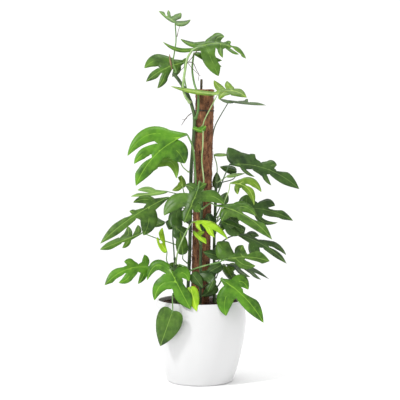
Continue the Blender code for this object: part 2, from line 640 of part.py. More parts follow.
def grow(bm, row, targets):
    """Extrudes the chain of vertices `row` into a new chain at `targets`."""
    edges = [bm.edges.get(pair) for pair in zip(row, row[1:])]
    made = bmesh.ops.extrude_edge_only(bm, edges=edges)["geom"]
    fresh = {item for item in made if isinstance(item, bmesh.types.BMVert)}
    chain = []
    for vert, target in zip(row, targets):
        twin = next(edge.other_vert(vert) for edge in vert.link_edges
                    if edge.other_vert(vert) in fresh)
        twin.co = target * MM
        chain.append(twin)
    return chain


TERMINAL_STEPS = (0.0, 0.35, 0.7, 1.0)
HEART_STEPS = (0.0, 0.15, 0.35, 0.6, 0.8, 1.0)
FINGER_STEPS = (0.35, 0.7, 1.0)
EAR_GROWTH = 0.0032         # how much more a wide leaf's ears reach back, per mm of width
WEB_FADE = 0.3              # share of a lobe over which the web's curve runs out


def stations(*sides):
    """Places along the midrib where either half of the blade needs a point."""
    places = set()
    for cuts, veins, _ in sides:
        steps = TERMINAL_STEPS if veins else HEART_STEPS
        places.update(cuts)
        places.update(round(cuts[-1] + (1 - cuts[-1]) * step, 2) for step in steps)
    return sorted(places)


def half_blade(bm, blade, side, outline, ribs, places):
    """Grows one half of a blade out of the midrib's vertices."""
    cuts, veins, ends = outline
    targets, spans = [], [[] for _ in veins]
    for index, u in enumerate(places):
        held = [k for k in range(len(veins)) if cuts[k] <= u <= cuts[k + 1]]
        for k in held:
            spans[k].append(index)
        if held:
            share = (u - cuts[held[0]]) / (cuts[held[0] + 1] - cuts[held[0]])
            targets.append(ends[held[0]].lerp(ends[held[0] + 1], share))
        elif u == 0:
            targets.append(blade.side_normal(0, side) * blade.leaf.stalk / 2)
        else:
            step = (u - cuts[-1]) / (1 - cuts[-1])
            last = free_line(*veins[-1][:3], veins[-1][3].slot) if veins else None
            targets.append(blade.terminal_edge(cuts[-1], ends[-1], step, side, last))
    webs = grow(bm, ribs, [blade.placed(flat) for flat in targets])
    for index, (vein, span) in enumerate(zip(veins, spans)):
        row = [webs[i] for i in span]
        shares = [(places[i] - cuts[index]) / (cuts[index + 1] - cuts[index]) for i in span]
        slots = (veins[index - 1][3].slot if index else BASE_START, vein[3].slot)
        shifts = [ends[index + more] - blade.lobe_edge(vein, slots[more], side, 2 * more - 1)
                  for more in (0, 1)]
        for step in FINGER_STEPS:
            edges = [blade.lobe_edge(vein, slots[more] + (1 - slots[more]) * step, side,
                                     2 * more - 1) + shifts[more] * (1 - eased(step / WEB_FADE))
                     for more in (0, 1)]
            row = grow(bm, row, [blade.placed(edges[0].lerp(edges[1], share))
                                 for share in shares])


def build_leaf(leaf, paths, group, cutters, surface):
    """A blade and its stalk as one sheet, given its thickness by Solidify."""
    blade = Blade(leaf)
    bm = bmesh.new()
    outlines = {side: blade.half(side) for side in (1, -1)}
    places = stations(*outlines.values())
    half_stalk = blade.side_normal(0, 1) * leaf.stalk / 2
    left = bm.verts.new(blade.placed(half_stalk) * MM)
    right = bm.verts.new(blade.placed(-half_stalk) * MM)
    ribs = [bm.verts.new(blade.placed(blade.midrib(u)) * MM) for u in places[1:]]
    for low, high in zip([left, *ribs], ribs):
        bm.edges.new((low, high))
    bm.edges.new((right, ribs[0]))
    bm.faces.new((left, right, ribs[0]))
    for side, first in ((1, left), (-1, right)):
        half_blade(bm, blade, side, outlines[side], [first, *ribs], places)
    for vert in bm.verts:
        vert.co = fitted(vert.co / MM) * MM
    blade_size = len(bm.verts)
    ends = (left.co / MM, right.co / MM)
    via = [fitted(place) for place in leaf.via]
    foot, clear = stalk_foot(paths, leaf.stem, fitted((0, 0, leaf.at)).z, via[0])
    path = [*smooth_path([(ends[0] + ends[1]) / 2, *reversed(via), clear], 2), foot]
    width = ends[0] - ends[1]
    row = [left, right]
    for before, point, after in zip(path, path[1:], [*path[2:], None]):
        along = ((after or point) - before).normalized()
        width = (width - along * width.dot(along)).normalized() * leaf.stalk
        row = grow(bm, row, [point + width / 2, point - width / 2])
    thin = BLADE_THICKNESS / STALK_THICKNESS
    layer = bm.verts.layers.deform.verify()
    for index, vert in enumerate(bm.verts):
        vert[layer][0] = thin if 2 <= index < blade_size else 1.0
    bmesh.ops.remove_doubles(bm, verts=bm.verts, dist=1e-6)
    bmesh.ops.recalc_face_normals(bm, faces=bm.faces)
    mesh = bpy.data.meshes.new(leaf.name)
    bm.to_mesh(mesh)
    bm.free()
    mesh.shade_smooth()
    item = add_object(leaf.name, mesh, group, surface)
    item.vertex_groups.new(name="thickness")
    solid = item.modifiers.new("Thickness", "SOLIDIFY")
    solid.thickness = STALK_THICKNESS * MM
    solid.offset = 0
    solid.vertex_group = "thickness"
    if leaf.name in CLOSE_LOBED:
        middle = (ends[0] + ends[1]) / 2
        knuckle = ball("cut_" + leaf.name, middle, STALK_THICKNESS * 0.25, cutters)
        joined = item.modifiers.new("Knuckle", "BOOLEAN")
        joined.operation = "UNION"
        joined.solver = "EXACT"
        joined.use_self = True
        joined.object = knuckle
    return item


# ---------------------------------------------------------------- the whole plant

def build():
    clear_scene()
    plant = collection("potted_monstera_plant")
    cutters = collection("cutters")
    surfaces = {
        "pot": material("white_pot", (0.86, 0.86, 0.86), 0.25),
        "soil": material("potting_soil", (0.06, 0.028, 0.018), 0.95),
        "coir": material("coir_fibre", (0.28, 0.12, 0.055), 0.95),
        "wood": material("core_wood", (0.16, 0.1, 0.05), 0.8),
        "tie": material("dark_tie", (0.03, 0.03, 0.02), 0.7),
        "stem": material("stem_green", (0.07, 0.13, 0.03), 0.6),
        "root": material("root_brown", (0.05, 0.035, 0.025), 0.85),
        "leaf_fresh": material("leaf_fresh", (0.07, 0.26, 0.025), 0.4),
        "leaf_mid": material("leaf_mid", (0.05, 0.17, 0.025), 0.4),
        "leaf_dark": material("leaf_dark", (0.025, 0.09, 0.025), 0.4),
        "leaf_lime": material("leaf_lime", (0.25, 0.5, 0.02), 0.4),
        "leaf_olive": material("leaf_olive", (0.13, 0.24, 0.03), 0.4),
        "leaf_pale": material("leaf_pale", (0.15, 0.32, 0.06), 0.4),
    }
    build_pot(plant, surfaces["pot"])
    paths, sockets = build_stems(plant, cutters, surfaces["stem"])
    sockets.append(build_pole(plant, cutters, surfaces))
    build_soil(plant, surfaces["soil"], sockets)
    build_roots(plant, surfaces["root"])
    for leaf in LEAVES:
        build_leaf(leaf, paths, plant, cutters, surfaces[leaf.colour])


build()
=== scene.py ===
"""Looks of a potted monstera on a coir pole: leaves with veins, fibre, bark, soil and pot."""

import math
import random
from collections import namedtuple

import bmesh
import bpy
import numpy as np
from bpy.props import FloatProperty, FloatVectorProperty, IntProperty, PointerProperty
from mathutils import Matrix, Vector, noise


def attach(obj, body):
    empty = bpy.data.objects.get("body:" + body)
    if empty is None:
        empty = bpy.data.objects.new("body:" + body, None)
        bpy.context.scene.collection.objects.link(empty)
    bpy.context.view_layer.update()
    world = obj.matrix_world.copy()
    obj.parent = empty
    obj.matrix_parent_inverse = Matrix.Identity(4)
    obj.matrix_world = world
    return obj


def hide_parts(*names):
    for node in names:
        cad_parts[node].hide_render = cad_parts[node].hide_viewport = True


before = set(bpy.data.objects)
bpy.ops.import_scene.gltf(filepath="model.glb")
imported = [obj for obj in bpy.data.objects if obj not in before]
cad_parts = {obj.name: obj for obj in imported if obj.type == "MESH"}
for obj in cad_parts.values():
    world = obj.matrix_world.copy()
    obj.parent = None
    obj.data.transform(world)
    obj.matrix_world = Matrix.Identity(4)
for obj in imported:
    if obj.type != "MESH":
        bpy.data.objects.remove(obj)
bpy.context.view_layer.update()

bl_info = {
    "name": "Potted monstera",
    "version": (1, 0, 0),
    "blender": (4, 5, 0),
    "location": "View3D > Sidebar > Plant",
    "description": "Builds a climbing monstera, its coir pole, soil and pot, piece by piece",
    "category": "Add Mesh",
}

MM = 0.001

# Sizes shared by several pieces, in millimetres
POT_HEIGHT = 265
POT_RIM_RADIUS = 139
POT_BELLY_RADIUS = 150
POT_BELLY_HEIGHT = 200
POT_BASE_RADIUS = 106
POT_FOOT_ROUNDING = 9
POT_WALL = 5
POT_FLOOR = 7
SOIL_TOP = 252
SOIL_GAP = 0.3
POLE_RADIUS = 30
POLE_LENGTH = 693
POLE_LEAN = 16
CORE_RADIUS = 4
CORE_OFFSET = 12
CORE_PROUD = 34
TIE_HEIGHT = 625
TIE_CORD_RADIUS = 0.9
STALK_REACH = 5
STALK_FLARE = 1.35

# Slots between lobes: where along its vein a slot starts, as a share, first in
# general and then for the slot next to the stalk, and its least width in millimetres
SLOT_START = 0.2
BASE_START = 0.14
SLOT_GAP = 2.4

# What the widths in the leaf list are multiplied by, for lobes and for the end lobe
FULLNESS = 1.5
END_FULLNESS = 1.25

# The end lobe: its half-width where it starts and where it stops widening, as shares
END_START = 0.45
END_WIDEST = 0.35

# An undivided blade: the widest place and the flank as shares of its width and length,
# and how far its ears reach back, in millimetres for each square millimetre of width
HEART_WIDTH = 0.62
HEART_FLANK = 0.55
EAR_GROWTH = 0.0032

# Relief of a blade in millimetres: ripples across it and the dip between two veins
RIPPLE_DEPTH = 1.6
RIPPLE_SIZE = 26
WEB_DIP = 2.2


# ---------------------------------------------------------------- what the plant is made of

Leaf = namedtuple("Leaf", "name base tip width lean stem at via left right bend share fold "
                          "curl stalk colour",
                  defaults=((), (), 0.0, 0.6, 0.18, 0.08, 5, "leaf_mid"))
Lobe = namedtuple("Lobe", "right up width bow peak slot", defaults=(0.1, 0.45, SLOT_START))
Stem = namedtuple("Stem", "name radius beside free")


def lobes(*rows):
    return tuple(Lobe(*row) for row in rows)


# Leaves coloured leaf_dark are partly painted shade: the darker green goes to leaves that sit in
# shade inside, behind and on the right of the plant, as well as to deeper green ones
LEAVES = (
    # Crown
    Leaf("leaf_crown_young", (-80, -15, 1160), (-55, 42), 16, (0.2, 1.2), "stem_left", 996,
         ((-87, -12, 1030), (-82, -14, 1065), (-77, -15, 1105)),
         right=lobes((50, 13, 14, 0.2), (18, 38, 18, 0.15), (-24, 46, 8)),
         share=0.5, colour="leaf_mid"),
    Leaf("leaf_crown_left", (-50, 15, 1035), (-124, -65), 22, (0.1, 0.4), "stem_left", 950,
         ((-50, 12, 985),),
         left=lobes((-40, -48, 16), (-87, -86, 17)),
         right=lobes((4, 15, 9), (-130, -20, 30, 0.3)), bend=-0.15, colour="leaf_mid"),
    Leaf("leaf_crown_right", (-25, -30, 1070), (174, -26), 20, (0.1, 0.5), "stem_left", 905,
         ((-48, -38, 925), (-54, -40, 955), (-47, -34, 1010), (-40, -24, 1045)),
         left=lobes((-95, 28, 10, 0.15), (-38, 38, 12), (104, 48, 24, 0.3), (126, 30, 12, 0.2)),
         right=lobes((84, -84, 36, 0), (98, -24, 12), (150, -12, 10)), bend=0.42, share=0.7,
         stalk=9, colour="leaf_mid"),
    Leaf("leaf_crown_under", (-20, -2, 1062), (92, -22), 20, (0.1, 0.5), "stem_left", 852,
         ((-6, -46, 880), (-6, -41, 925), (-18, -24, 962), (-25, -12, 1010)),
         right=lobes((90, -42, 16),), stalk=8, colour="leaf_mid"),
    Leaf("leaf_pole_top", (55, -66, 925), (94, -8), 22, (0.1, 0.8), "stem_left", 815,
         ((8, -52, 828), (16, -56, 850), (42, -64, 900)),
         left=lobes((-150, 30, 11, 0.04), (-10, 50, 16), (32, 48, 16)),
         right=lobes((5, -15, 14),), bend=0.4, stalk=4, colour="leaf_olive"),
    Leaf("leaf_high_right", (95, 15, 910), (120, -15), 12, (0.2, 2.5), "stem_back", 790,
         ((52, 25, 835),),
         left=lobes((-35, 10, 8), (62, 8, 8)), stalk=4,
         colour="leaf_dark"),
    # Middle
    Leaf("leaf_big_left", (-40, -80, 800), (-161, -162), 44, (0.25, 0.15), "stem_front", 582,
         ((-10, -60, 608), (-16, -72, 690), (-22, -74, 755)),
         left=lobes((-8, -92, 44, 0.08),),
         right=lobes((-188, -68, 32, 0.26), (-167, -93, 23, 0.18)), bend=-0.22, share=0.55,
         stalk=7, colour="leaf_fresh"),
    Leaf("leaf_light_left", (-120, -50, 730), (-65, -55), 24, (0.1, 0.8), "stem_left", 680,
         ((-60, -32, 705), (-75, -45, 765), (-100, -52, 772)),
         left=lobes((45, -70, 22, 0.35),), stalk=4, colour="leaf_pale"),
    Leaf("leaf_curly", (10, -70, 810), (-35, 10), 16, (0, 0.5), "stem_front", 621,
         ((12, -56, 655), (6, -58, 715), (9, -66, 765)),
         right=lobes((8, 18, 12),), stalk=5, colour="leaf_fresh"),
    Leaf("leaf_right_high", (95, -45, 705), (221, -79), 34, (-0.1, 0.3), "stem_right", 570,
         ((54, -46, 600), (68, -52, 640), (80, -54, 672)),
         left=lobes((-5, 54, 30, 0, 0.45, 0.7), (82, 32, 28, 0.28), (151, -3, 25, 0.25)),
         right=lobes((80, -40, 8), (132, -67, 11, 0.1)), bend=0.22, share=0.62,
         colour="leaf_dark"),
    Leaf("leaf_right_strip", (45, 5, 735), (55, 0), 12, (0, 2.0), "stem_right", 660,
         ((55, 8, 700),), stalk=4, colour="leaf_pale"),
    Leaf("leaf_right_dark", (120, 60, 680), (-55, 15), 30, (-0.2, 0.6), "stem_back", 620,
         ((60, 60, 640), (110, 68, 655)), stalk=4, colour="leaf_dark"),
    Leaf("leaf_pole_side", (55, 45, 625), (0, 55), 32, (0.3, -0.3), "stem_back", 570,
         ((35, 52, 595),), stalk=4, colour="leaf_dark"),
    Leaf("leaf_right_pale", (85, -45, 665), (60, 10), 12, (0, 2.5), "stem_right", 645,
         ((66, -32, 652),), stalk=4, colour="leaf_pale"),
    Leaf("leaf_right_olive", (95, -78, 645), (76, -69), 20, (-0.1, 0.3), "stem_right", 512,
         ((66, -62, 555), (80, -72, 592), (92, -76, 622)),
         left=lobes((100, -28, 18, 0.25),), right=lobes((25, -35, 12),), bend=0.5,
         share=0.4, stalk=4, colour="leaf_olive"),
    Leaf("leaf_right_deep", (130, -40, 565), (170, -42), 26, (0, 0.25), "stem_right", 520,
         ((90, -36, 555),),
         left=lobes((22, 42, 36), (112, 6, 22, 0.3)), right=lobes((120, -47, 12, 0.25),),
         bend=0.15, share=0.5, stalk=4, colour="leaf_dark"),
    Leaf("leaf_right_front", (50, -98, 575), (175, -104), 32, (-0.1, 0.5), "stem_front", 562,
         ((18, -76, 572), (34, -90, 582)),
         left=lobes((127, -33, 22, 0.22),), right=lobes((19, -48, 24),), bend=0.2, share=0.45,
         colour="leaf_mid"),
    Leaf("leaf_right_shade", (72, -42, 580), (15, 35), 34, (0, 0.3), "stem_right", 540,
         ((62, -38, 562),), stalk=4, colour="leaf_dark"),
    Leaf("leaf_centre", (-5, -105, 630), (-45, -107), 32, (0.05, 0.45), "stem_front", 600,
         ((4, -80, 638), (-2, -100, 652)),
         left=lobes((26, 14, 16, 0.1), (82, -51, 28, 0.18), (5, -74, 22)),
         right=lobes((-42, 10, 20, 0.1), (-108, -85, 34, 0.22)), share=0.6,
         colour="leaf_mid"),
    Leaf("leaf_olive_small", (-55, -60, 630), (-5, 40), 26, (0.2, 0.6), "stem_left", 600,
         ((-50, -44, 612),), left=lobes((-34, -8, 12),), stalk=4, colour="leaf_olive"),
    Leaf("leaf_left_strip", (-105, 20, 615), (-120, -15), 14, (0.1, 2.2), "stem_back", 570,
         ((-55, 42, 600),), right=lobes((-100, 5, 12),), stalk=4, colour="leaf_pale"),
    Leaf("leaf_mid_left", (-100, -70, 600), (-212, -142), 28, (0.2, 0.4), "stem_left", 560,
         ((-70, -48, 588),),
         left=lobes((-78, -118, 36, 0.1),),
         right=lobes((-112, -16, 18, 0.15), (-123, -43, 11, 0.12)), bend=-0.1, share=0.55,
         colour="leaf_mid"),
    Leaf("leaf_dark_centre", (22, -50, 546), (30, -64), 36, (0, 0.2), "stem_front", 505,
         ((16, -45, 522),), right=lobes((-12, -56, 24),), stalk=4, colour="leaf_dark"),
    # Low
    Leaf("leaf_lime_centre", (-25, -125, 525), (112, -54), 18, (0, 0.5), "stem_low_left", 385,
         ((-70, -80, 430), (-48, -112, 485)),
         right=lobes((30, -28, 8), (70, -47, 14)), bend=0.45, share=0.5, colour="leaf_lime"),
    Leaf("leaf_right_mid", (65, -70, 525), (76, -30), 36, (0, 0.4), "stem_right", 480,
         ((58, -58, 505),), right=lobes((60, -45, 24),), stalk=4, colour="leaf_dark"),
    Leaf("leaf_left_behind", (-115, 30, 515), (-50, -15), 20, (0.1, 1.0), "stem_back", 470,
         ((-60, 48, 500),), right=lobes((-90, 10, 18),), stalk=4, colour="leaf_dark"),
    Leaf("leaf_centre_dark", (-85, -85, 510), (42, -30), 38, (0, 0.5), "stem_low_left", 402,
         ((-84, -62, 435), (-87, -76, 480)),
         left=lobes((20, 60, 34),), right=lobes((15, -42, 18),), colour="leaf_dark"),
    Leaf("leaf_small_centre", (-20, -105, 495), (40, -40), 18, (0, 0.5), "stem_front", 450,
         ((-8, -78, 475),), left=lobes((34, -4, 10),), stalk=4, colour="leaf_lime"),
    Leaf("leaf_left_dark", (-185, -45, 485), (-133, -50), 20, (0.15, 0.8), "stem_left", 430,
         ((-85, -30, 448), (-125, -38, 462), (-143, -40, 468)),
         left=lobes((-62, -46, 12),), right=lobes((-16, 24, 14), (-49, 20, 18, 0.2)), stalk=4,
         colour="leaf_mid"),
    Leaf("leaf_right_low", (120, -50, 480), (155, -90), 18, (0.1, 0.8), "stem_right", 440,
         ((88, -46, 468),),
         left=lobes((70, -6, 14, 0.15), (155, -64, 13, 0.15)), right=lobes((75, -80, 24, 0.15),),
         bend=0.15, colour="leaf_dark"),
    Leaf("leaf_yellow_left", (-105, -75, 425), (-35, 45), 26, (0.1, 0.4), "stem_low_left", 370,
         ((-106, -62, 395),), right=lobes((-16, 76, 16, -0.1),), stalk=4, colour="leaf_lime"),
    Leaf("leaf_mid_green", (-55, -48, 415), (-10, 85), 42, (0.1, 0.3), "stem_left", 385,
         ((-55, -40, 400),), stalk=4, colour="leaf_mid"),
    Leaf("leaf_dark_low", (65, -60, 410), (-56, 14), 34, (0, 0.6), "stem_right", 375,
         ((60, -52, 395),), stalk=4, colour="leaf_dark"),
    Leaf("leaf_front_right", (75, -110, 405), (145, -5), 38, (-0.1, 0.3), "stem_left", 358,
         ((-20, -84, 372), (25, -104, 388), (58, -112, 396)),
         left=lobes((-20, 54, 42, 0), (62, 44, 26, 0.2)), right=lobes((100, -19, 20, 0.15),),
         bend=0.15, share=0.5, colour="leaf_mid"),
    Leaf("leaf_dark_lower", (70, -75, 385), (-54, -28), 38, (0, 0.5), "stem_right", 345,
         ((60, -62, 368),), stalk=4, colour="leaf_dark"),
    Leaf("leaf_low_dark", (85, 30, 375), (140, -45), 14, (0.2, 1.5), "stem_right", 335,
         ((66, 14, 362),), right=lobes((78, -37, 9), (113, -45, 8)), bend=0.25, stalk=4,
         colour="leaf_dark"),
    Leaf("leaf_low_left", (-155, -60, 375), (-148, -54), 30, (0.2, 0.3), "stem_low_left", 335,
         ((-115, -50, 362),),
         left=lobes((-43, -51, 15), (-104, -46, 19, 0.22)),
         right=lobes((-24, 40, 16), (-88, 18, 19, 0.32)), bend=-0.28, share=0.55,
         colour="leaf_fresh"),
    Leaf("leaf_rim_left", (-95, -120, 375), (66, -123), 42, (0, 0.35), "stem_low_left", 318,
         ((-90, -72, 345), (-92, -98, 372)),
         left=lobes((61, -37, 26, 0.45),),
         right=lobes((-72, -35, 22, 0.45), (-48, -97, 28, 0.27)), share=0.45,
         colour="leaf_fresh"),
    Leaf("leaf_small_low", (-25, -100, 360), (34, -44), 40, (0, 0.4), "stem_front", 322,
         ((-10, -78, 345),), stalk=4, colour="leaf_dark"),
    Leaf("leaf_rim_right", (65, -120, 345), (134, -135), 38, (0, 0.35), "stem_right", 300,
         ((62, -60, 322), (70, -98, 345)),
         left=lobes((87, -34, 28, 0.4),), right=lobes((17, -114, 36, 0.15),), bend=0.14,
         share=0.45, colour="leaf_fresh"),
    Leaf("leaf_low_grey", (45, -100, 342), (-20, -40), 26, (0, 0.3), "stem_front", 308,
         ((34, -78, 330),), right=lobes((-50, 15, 26),), share=0.5, stalk=4,
         colour="leaf_dark"),
    Leaf("leaf_rim_lime", (-30, -122, 320), (20, -75), 44, (0, 0.42), "stem_front", 276,
         ((-14, -82, 300), (-24, -106, 318)), stalk=4, colour="leaf_lime"),
    Leaf("leaf_soil_dark", (55, -70, 315), (-50, -30), 38, (0, 0.6), "stem_right", 282,
         ((55, -56, 302),), stalk=4, colour="leaf_dark"),
    Leaf("leaf_rim_heart", (-85, -160, 250), (-40, -115), 88, (-0.5, 0.1), "stem_low_left", 272,
         ((-84, -70, 286), (-86, -112, 297), (-86, -148, 285)), stalk=5, colour="leaf_mid"),
    # Back
    Leaf("leaf_back_left", (-60, 85, 560), (-45, -75), 38, (0.2, -0.3), "stem_back", 510,
         ((-30, 68, 545),), left=lobes((25, -60, 24, 0.2),), right=lobes((-55, -10, 24, 0.2),),
         colour="leaf_dark"),
    Leaf("leaf_back_right", (90, 85, 540), (55, -75), 38, (-0.2, -0.3), "stem_back", 490,
         ((50, 66, 525),), left=lobes((55, -15, 24, 0.2),), right=lobes((-15, -60, 24, 0.2),),
         colour="leaf_dark"),
    Leaf("leaf_back_low_left", (-70, 95, 370), (-20, -60), 36, (0.2, -0.6), "stem_back", 330,
         ((-35, 70, 358),), right=lobes((-40, -15, 22, 0.2),), colour="leaf_mid"),
    Leaf("leaf_back_low_right", (80, 95, 370), (45, -75), 36, (-0.2, -0.6), "stem_back", 315,
         ((40, 72, 352),), left=lobes((50, -12, 20, 0.2),), colour="leaf_mid"),
)

STEMS = (
    Stem("stem_left", 6, ((205, 6, 252), (205, 6, 300), (202, 2, 420), (200, 2, 560),
                          (200, 3, 680), (208, 0, 780), (214, 0, 850)),
         ((-25, -18, 888), (-38, -14, 925), (-63, -10, 968), (-86, -8, 998))),
    Stem("stem_front", 5, ((270, 8, 252), (270, 6, 300), (268, 2, 420), (266, 1, 540),
                           (266, 1, 622)), ()),
    Stem("stem_low_left", 5, (), ((-78, -34, 252), (-78, -36, 290), (-80, -38, 350),
                                  (-80, -42, 405))),
    Stem("stem_right", 5, ((350, 10, 252), (350, 8, 320), (348, 5, 460), (350, 6, 580),
                           (0, 6, 670)), ()),
    Stem("stem_back", 5, ((85, 8, 252), (88, 4, 340), (90, 2, 500), (80, 2, 660),
                          (60, 2, 800)), ()),
)

# Wiry aerial roots: name, radius, points
ROOTS = (
    ("root_upper", 1.6, ((-28, -30, 868), (-40, -32, 858), (-52, -28, 842), (-60, -26, 830))),
    ("root_low", 1.8, ((-45, -34, 478), (-52, -42, 470), (-60, -40, 462), (-64, -46, 448))),
)
EXTRA_ROOTS = (
    (1.1, ((-40, -32, 858), (-46, -36, 850), (-58, -34, 847))),
    (1.4, ((-41, -18, 1032), (-23, -24, 1030), (-12, -24, 1008), (-4, -22, 992),
           (-6, -24, 972))),
    (1.0, ((-41, -18, 1032), (-28, -20, 1016), (-12, -18, 1000), (2, -18, 987))),
    (1.0, ((-66, -20, 1146), (-70, -18, 1130), (-74, -16, 1112))),
    (1.3, ((-6, -60, 1070), (-30, -40, 1040), (-60, -20, 1008), (-72, -14, 1001))),
)


# ---------------------------------------------------------------- shared helpers

def pole_axis(height):
    """The pole's axis at a height above the floor, in millimetres."""
    return Vector((POLE_LEAN * (height - SOIL_TOP) / POLE_LENGTH, 0, height))


def smooth_path(points, steps):
    """Reads a Catmull-Rom curve through the points, `steps` to each stretch."""
    ends = [2 * points[0] - points[1], *points, 2 * points[-1] - points[-2]]
    path = []
    for before, start, end, after in zip(ends, ends[1:], ends[2:], ends[3:]):
        for step in range(steps):
            t = step / steps
            path.append(0.5 * (2 * start + (end - before) * t
                               + (2 * before - 5 * start + 4 * end - after) * t ** 2
                               + (3 * start - before - 3 * end + after) * t ** 3))
    return [*path, points[-1]]


def finish_piece(bm, name, node, materials, sharp=None):
    """Turns a bmesh, drawn in metres in place, into a piece of the object."""
    bmesh.ops.recalc_face_normals(bm, faces=bm.faces)
    mesh = bpy.data.meshes.new(name)
    bm.to_mesh(mesh)
    bm.free()
    mesh.shade_smooth()
    if sharp:
        mesh.set_sharp_from_angle(angle=math.radians(sharp))
    item = bpy.data.objects.new(name, mesh)
    bpy.context.scene.collection.objects.link(item)
    for surface in materials:
        mesh.materials.append(surface)
    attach(item, "root")
    if node:
        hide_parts(node)
    return item


def grow(bm, row, targets, closed=False):
    """Extrudes the chain of vertices `row` into a new chain at `targets`, in millimetres."""
    pairs = list(zip(row, row[1:]))
    if closed:
        pairs.append((row[-1], row[0]))
    edges = [bm.edges.get(pair) for pair in pairs]
    made = bmesh.ops.extrude_edge_only(bm, edges=edges)["geom"]
    fresh = {item for item in made if isinstance(item, bmesh.types.BMVert)}
    chain = []
    for vert, target in zip(row, targets):
        twin = next(edge.other_vert(vert) for edge in vert.link_edges
                    if edge.other_vert(vert) in fresh)
        twin.co = target * MM
        chain.append(twin)
    return chain


def sweep(bm, path, radii, sides, surface=0):
    """A round tube along a path in millimetres, with a radius for each of its points."""
    across = (path[1] - path[0]).normalized().orthogonal().normalized()
    ring = []
    before_count = len(bm.faces)
    for index, (point, radius) in enumerate(zip(path, radii)):
        low, high = path[max(index - 1, 0)], path[min(index + 1, len(path) - 1)]
        along = (high - low).normalized()
        across = (across - along * across.dot(along)).normalized()
        other = along.cross(across)
        turns = [2 * math.pi * side / sides for side in range(sides)]
        targets = [point + (across * math.cos(turn) + other * math.sin(turn)) * radius
                   for turn in turns]
        if ring:
            ring = grow(bm, ring, targets, closed=True)
            continue
        ring = [bm.verts.new(target * MM) for target in targets]
        edges = [bm.edges.new(pair) for pair in zip(ring, [*ring[1:], ring[0]])]
        bmesh.ops.contextual_create(bm, geom=edges)
    ends = [bm.edges.get(pair) for pair in zip(ring, [*ring[1:], ring[0]])]
    bmesh.ops.contextual_create(bm, geom=ends)
    bm.faces.ensure_lookup_table()
    for face in bm.faces[before_count:]:
        face.material_index = surface


def rough(value, scale, seed=0.0):
    """Smooth noise from -1 to 1 at a point, with features about `scale` millimetres wide."""
    return noise.noise(Vector(value) / scale + Vector((seed, 2 * seed, -seed)))


# ---------------------------------------------------------------- materials

def shader_tree(name):
    made = bpy.data.materials.new(name)
    made.use_nodes = True
    tree = made.node_tree
    return made, tree, tree.nodes["Principled BSDF"]


def add_node(tree, kind, settings=None, **inputs):
    """Adds a shader node; settings are its properties, inputs are values or sockets."""
    node = tree.nodes.new(kind)
    for key, value in (settings or {}).items():
        setattr(node, key, value)
    for key, value in inputs.items():
        socket = node.inputs[key.replace("_", " ")]
        if isinstance(value, bpy.types.NodeSocket):
            tree.links.new(value, socket)
        else:
            socket.default_value = value
    return node


def noise_of(tree, vector, scale, detail=3.0, roughness=0.55):
    node = add_node(tree, "ShaderNodeTexNoise", Vector=vector, Scale=scale, Detail=detail,
                    Roughness=roughness)
    return node.outputs["Fac"]


def stretched(tree, vector, scale):
    """The vector with each axis multiplied by its own factor."""
    return add_node(tree, "ShaderNodeMapping", Vector=vector, Scale=scale).outputs["Vector"]


def ramp(tree, value, low, high):
    """Maps value from the range low..high onto 0..1."""
    node = add_node(tree, "ShaderNodeMapRange", Value=value)
    node.inputs["From Min"].default_value = low
    node.inputs["From Max"].default_value = high
    return node.outputs["Result"]


def blended(tree, share, first, second):
    """Mixes two colours, each a tuple or a socket."""
    node = tree.nodes.new("ShaderNodeMix")
    node.data_type = "RGBA"
    colours = [item for item in node.inputs if item.type == "RGBA"]
    for socket, value in zip(colours, (first, second)):
        if isinstance(value, bpy.types.NodeSocket):
            tree.links.new(value, socket)
        else:
            socket.default_value = (*value, 1)
    factor = node.inputs["Factor"]
    if isinstance(share, bpy.types.NodeSocket):
        tree.links.new(share, factor)
    else:
        factor.default_value = share
    return next(item for item in node.outputs if item.type == "RGBA")


def sums(tree, kind, first, second):
    node = tree.nodes.new("ShaderNodeMath")
    node.operation = kind
    for socket, value in zip(node.inputs, (first, second)):
        if isinstance(value, bpy.types.NodeSocket):
            tree.links.new(value, socket)
        else:
            socket.default_value = value
    return node.outputs["Value"]


def bumped(tree, shader, height, distance, strength=1.0):
    node = add_node(tree, "ShaderNodeBump", Height=height, Distance=distance,
                    Strength=strength)
    tree.links.new(node.outputs["Normal"], shader.inputs["Normal"])


def object_place(tree):
    return tree.nodes.new("ShaderNodeTexCoord").outputs["Object"]


def attribute(tree, name):
    return add_node(tree, "ShaderNodeAttribute", {"attribute_name": name}).outputs["Fac"]


